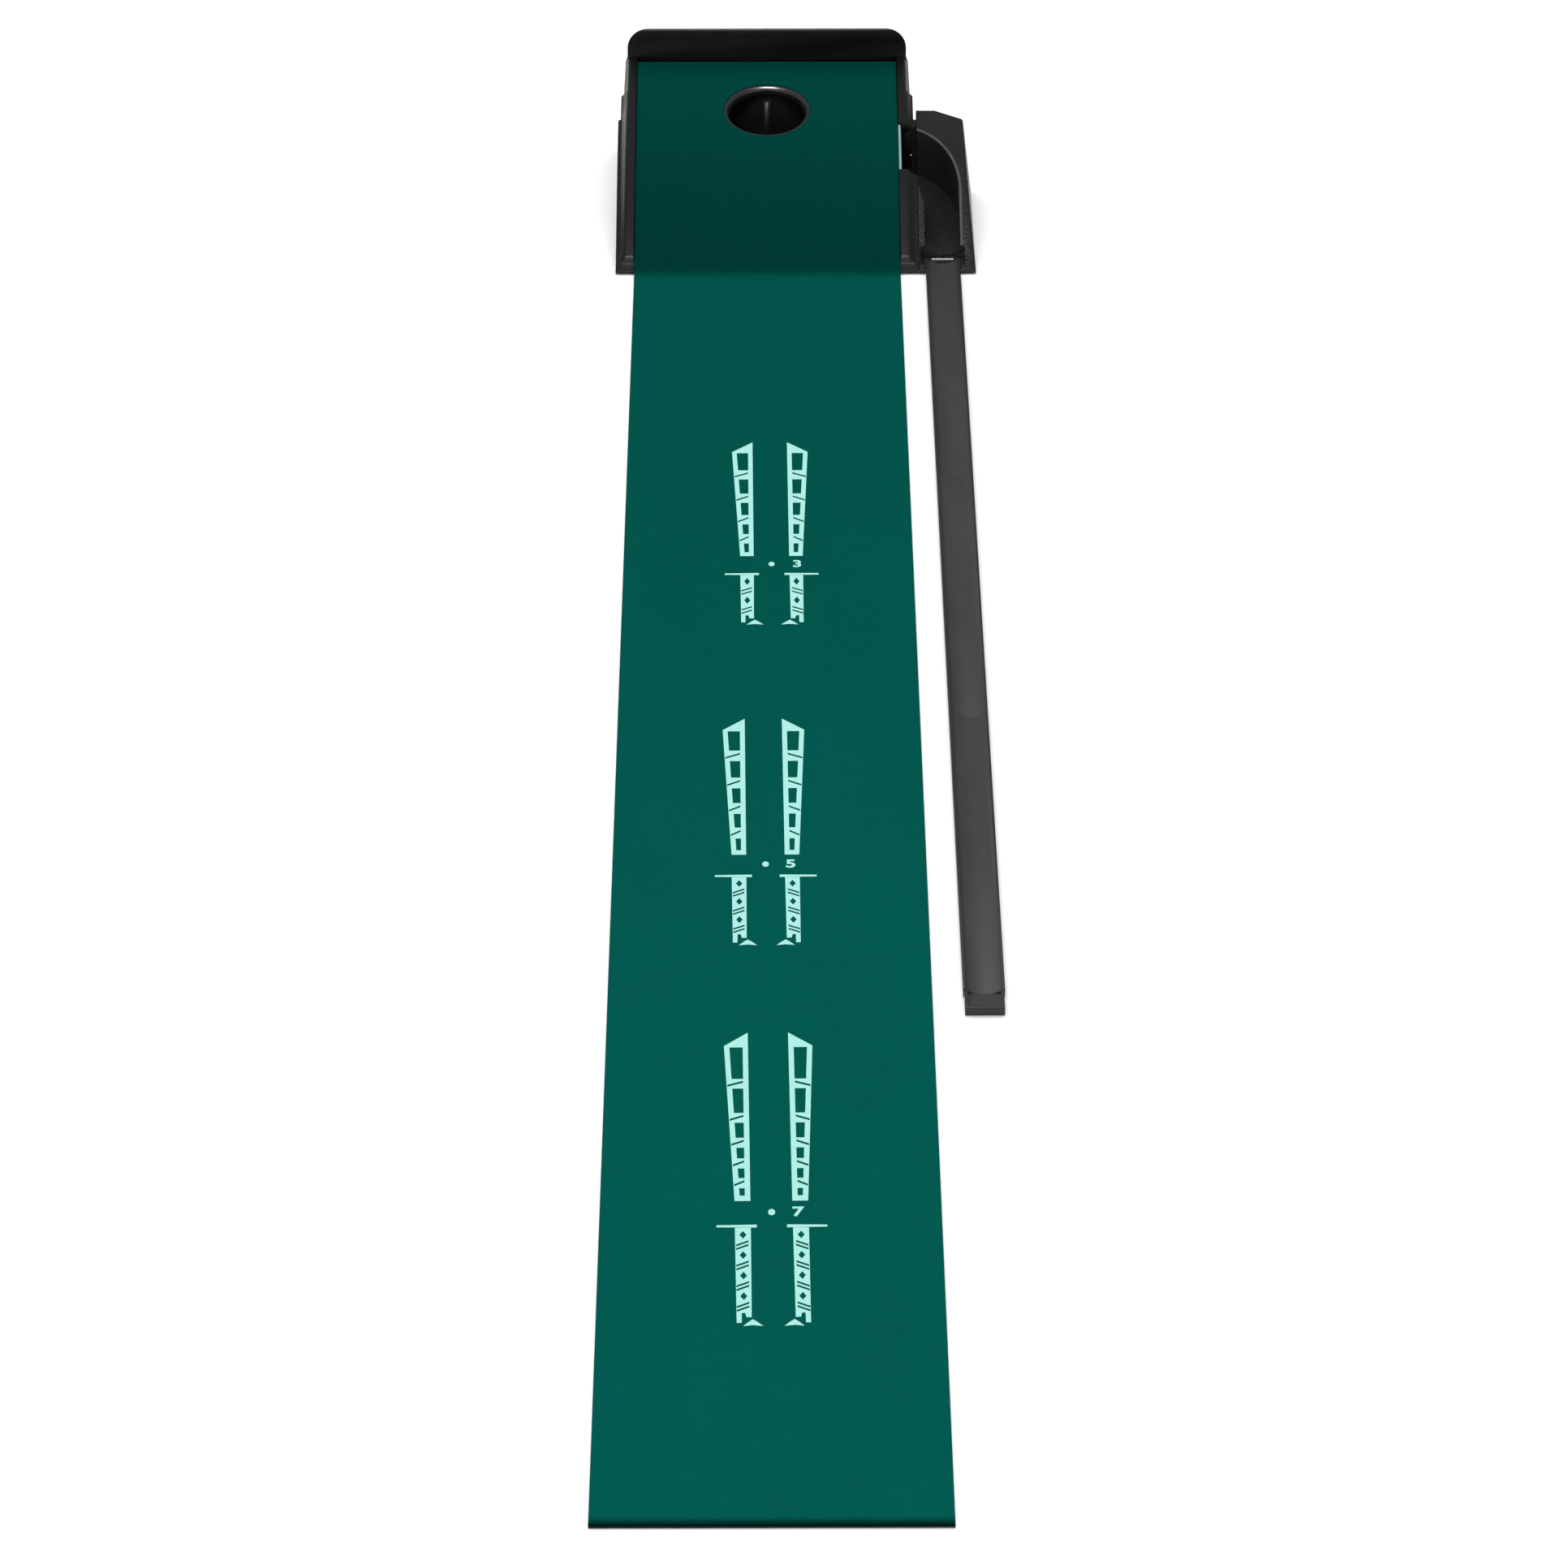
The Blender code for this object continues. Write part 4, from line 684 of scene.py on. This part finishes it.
def rim_path(node):
    """Points along the outer upper edge of scoop and trough, from the side opening to the front pocket."""
    low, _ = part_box(node)
    shape = bmesh.new()
    shape.from_mesh(nodes[node].data)
    bmesh.ops.remove_doubles(shape, verts=shape.verts, dist=WELD)
    links = {}
    for edge in shape.edges:
        if len(edge.link_faces) != 2 or not edge.is_convex:
            continue
        wall, top = sorted(edge.link_faces, key=lambda face: face.normal.z)
        middle = (edge.verts[0].co + edge.verts[1].co) / 2
        rises = abs(wall.normal.z) < 0.35 and top.normal.z > 0.8 and wall.normal.x < -0.2
        if rises and middle.x > low.x + 0.001 and track_high.y + 0.004 < middle.y < -0.030:
            one, two = (tuple(round(c, 5) for c in vert.co) for vert in edge.verts)
            links.setdefault(one, set()).add(two)
            links.setdefault(two, set()).add(one)
    shape.free()
    spot = max(links, key=lambda one: one[1])
    path, seen = [spot], {spot}
    while True:
        onward = [one for one in links[spot] if one not in seen]
        if not onward:
            return [Vector(one) for one in path]
        spot = min(onward, key=lambda one: one[1])
        seen.add(spot)
        path.append(spot)


def bead(name, path, profile, surface, body):
    """Sweeps a small profile of (outward, up) pairs along a path; outward is to the path's left."""
    rings = []
    for i, spot in enumerate(path):
        along = (path[min(i + 1, len(path) - 1)] - path[max(i - 1, 0)]).normalized()
        outward = Vector((-along.y, along.x, 0.0)).normalized()
        rings.append([spot + outward * a + Vector((0.0, 0.0, b)) for a, b in profile])
    return new_piece(name, loft(name, rings, smooth_angle=60.0), surface, body)


def thinned(path, gap=0.002):
    """The path without the points that crowd closer than gap."""
    kept = [path[0]]
    for spot in path[1:-1]:
        if (spot - kept[-1]).length > gap:
            kept.append(spot)
    return kept + [path[-1]]


def half_round(width, height, sink=0.0006, count=8):
    """Profile of a rounded bead whose foot is sunk a little into what it sits on."""
    points = [(0.0, -sink)]
    for i in range(count + 1):
        angle = math.pi * i / count
        points.append((width / 2 - width / 2 * math.cos(angle), height * math.sin(angle)))
    return points + [(width, -sink)]


def build_trims():
    """The rolled lip inside the cup and the beads on the chute and at the ramp's side opening; the beads'
    pale colours are painted highlights.
    """
    rim = thinned(rim_path("return_chute"))
    bead("scoop_rim", rim, half_round(0.0036, 0.0013), SCOOP_RIM_PAINTED_HIGHLIGHT, "base")
    bead("trough_lip", trough_lip(), half_round(0.0034, 0.0016, 0.0003), TROUGH_LIP_PAINTED_HIGHLIGHT, "base")
    lip_steps = 8
    lip = [(0.0503, -0.0022), (0.0503, 0.0006)]
    for i in range(lip_steps + 1):
        angle = math.pi / 2 * i / lip_steps
        lip.append((0.0500 - 0.0052 * math.sin(angle), 0.0010 - 0.0062 * (1 - math.cos(angle))))
    cup_band("cup_lip", lip + [(0.0448, -0.0085), (0.0470, -0.0085)], LIP)
    opening_start, opening_span, parts = -0.107, 0.0785, 24
    ys = [opening_start + opening_span * i / parts for i in range(parts + 1)]
    edge = [Vector((MAT_HALF + 0.0006, y, height_on(TURF_UNDER, y) - 0.0016)) for y in ys]
    bead("deck_edge", edge, [(0.0, -0.0012), (-0.0026, -0.0012), (-0.0030, 0.0006), (-0.0026, 0.0022),
                             (-0.0010, 0.0028), (0.0, 0.0028)], OPENING_EDGE_PAINTED_HIGHLIGHT, "base")


def trough_lip():
    """Path across the trough's hollow, just behind its lip over the track."""
    chute = nodes["return_chute"]
    half, parts = 0.0125, 16
    path = []
    for i in range(parts + 1):
        x = TRACK_X - half + 2 * half * i / parts
        found, spot, _, _ = chute.ray_cast(Vector((x, track_high.y + 0.0050, 0.05)), Vector((0.0, 0.0, -1.0)))
        if found:
            path.append(spot)
    return path


def crossed(node, size=0.0031, deep=0.0012):
    """Copy of a screw with a cross recess in its head."""
    low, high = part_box(node)
    span = high - low
    reach = max(range(3), key=lambda i: span[i])
    along = Vector((0.0, 0.0, 0.0))
    along[reach] = -1.0 if node.startswith("backstop") else 1.0
    top = (low + high) / 2
    top[reach] = high[reach] if along[reach] < 0 else low[reach]
    made = refined(node, STEEL, "base", 0.0)
    turn = along.to_track_quat("Z", "Y").to_matrix()
    for a, b in ((size / 2, 0.00042), (0.00042, size / 2)):
        rings = []
        for offset, taper in ((-0.001, 1.0), (deep, 0.72)):
            rings.append([top + along * offset + turn @ Vector((x * taper, y * taper, 0.0))
                          for x, y in ((-a, -b), (a, -b), (a, b), (-a, b))])
        cut(made, "cross_tool", rings)
    return made


# ---- build --------------------------------------------------------------------------------------
def build_floor():
    shape = bmesh.new()
    bmesh.ops.create_grid(shape, x_segments=1, y_segments=1, size=14.0)
    mesh = as_mesh("studio_floor", shape)
    floor = bpy.data.objects.new("studio_floor", mesh)
    SCENE.collection.objects.link(floor)
    floor.location = (0.0, 0.0, -0.0002)
    paint = Surface("studio_floor_paint", (0.92, 0.92, 0.92), 0.9)
    paint.set(Specular_IOR_Level=0.0)
    floor.data.materials.append(paint.material)


def add_light(name, kind, toward, energy, **settings):
    """A light that shines from a direction; an area light stands settings' distance away."""
    data = bpy.data.lights.new(name, kind)
    data.energy = energy
    distance = settings.pop("distance", 1.0)
    seen = settings.pop("seen", ())
    for key, value in settings.items():
        setattr(data, key, value)
    holder = bpy.data.objects.new(name, data)
    SCENE.collection.objects.link(holder)
    aim = Vector(toward).normalized()
    holder.location = aim * distance
    holder.rotation_euler = aim.to_track_quat("Z", "Y").to_euler()
    holder.visible_diffuse = "diffuse" in seen
    holder.visible_glossy = "glossy" in seen


def build_light():
    world = bpy.data.worlds.new("studio")
    SCENE.world = world
    world.use_nodes = True
    world.node_tree.nodes["Background"].inputs["Color"].default_value = (1.0, 1.0, 1.0, 1.0)
    world.node_tree.nodes["Background"].inputs["Strength"].default_value = 0.25
    add_light("dome", "SUN", (0.0, 0.05, 1.0), 2.0, angle=math.radians(150.0), seen=("diffuse",))
    add_light("key", "SUN", (-0.08, 0.50, 0.92), 1.75, angle=math.radians(45.0), seen=("diffuse",))
    add_light("glint", "AREA", (-0.05, -0.55, 0.83), 150.0, distance=3.0, size=1.1, seen=("glossy",))
    add_light("edge", "AREA", (-0.74, 0.65, 0.17), 110.0, distance=6.0, shape="RECTANGLE", size=4.0,
              size_y=2.0, seen=("glossy",))


def build_camera():
    data = bpy.data.cameras.new("camera")
    data.sensor_width = 36.0
    data.lens = 149.64
    data.clip_end = 60.0
    camera = bpy.data.objects.new("camera", data)
    SCENE.collection.objects.link(camera)
    forward = Vector((0.00323, 0.86347, -0.50440)).normalized()
    right = Vector((forward.y, -forward.x, 0.0)).normalized()
    up = right.cross(forward)
    turn = Matrix((right, up, -forward)).transposed()
    camera.matrix_world = Matrix.Translation((-0.0062, -7.0049, 3.2718)) @ turn.to_4x4()
    SCENE.camera = camera


build_floor()
build_light()
build_camera()
SCENE.view_settings.view_transform = "Standard"

turf = build_turf()
prints = build_guides()
backing = build_backing()
build_trims()
refined("ramp_shell", SHELL, "base")
refined("return_chute", CHUTE, "base")
refined("backstop", FENCE, "base", 0.0)
refined("ball_gutter", SHELL, "base", 0.0)
for number, body in ((1, "track_near"), (2, "track_middle"), (3, "track_far")):
    refined(f"track_section_{number}", TRACKS, body, 0.0003)
refined("track_end_stop", TRACKS, "track_far", 0.0003)
for name in nodes:
    if name.startswith("rubber_foot"):
        dress(name, RUBBER)
    elif "screw" in name:
        crossed(name)
    elif name.startswith("hook_strip"):
        refined(name, HOOKS, "base", 0.0003)
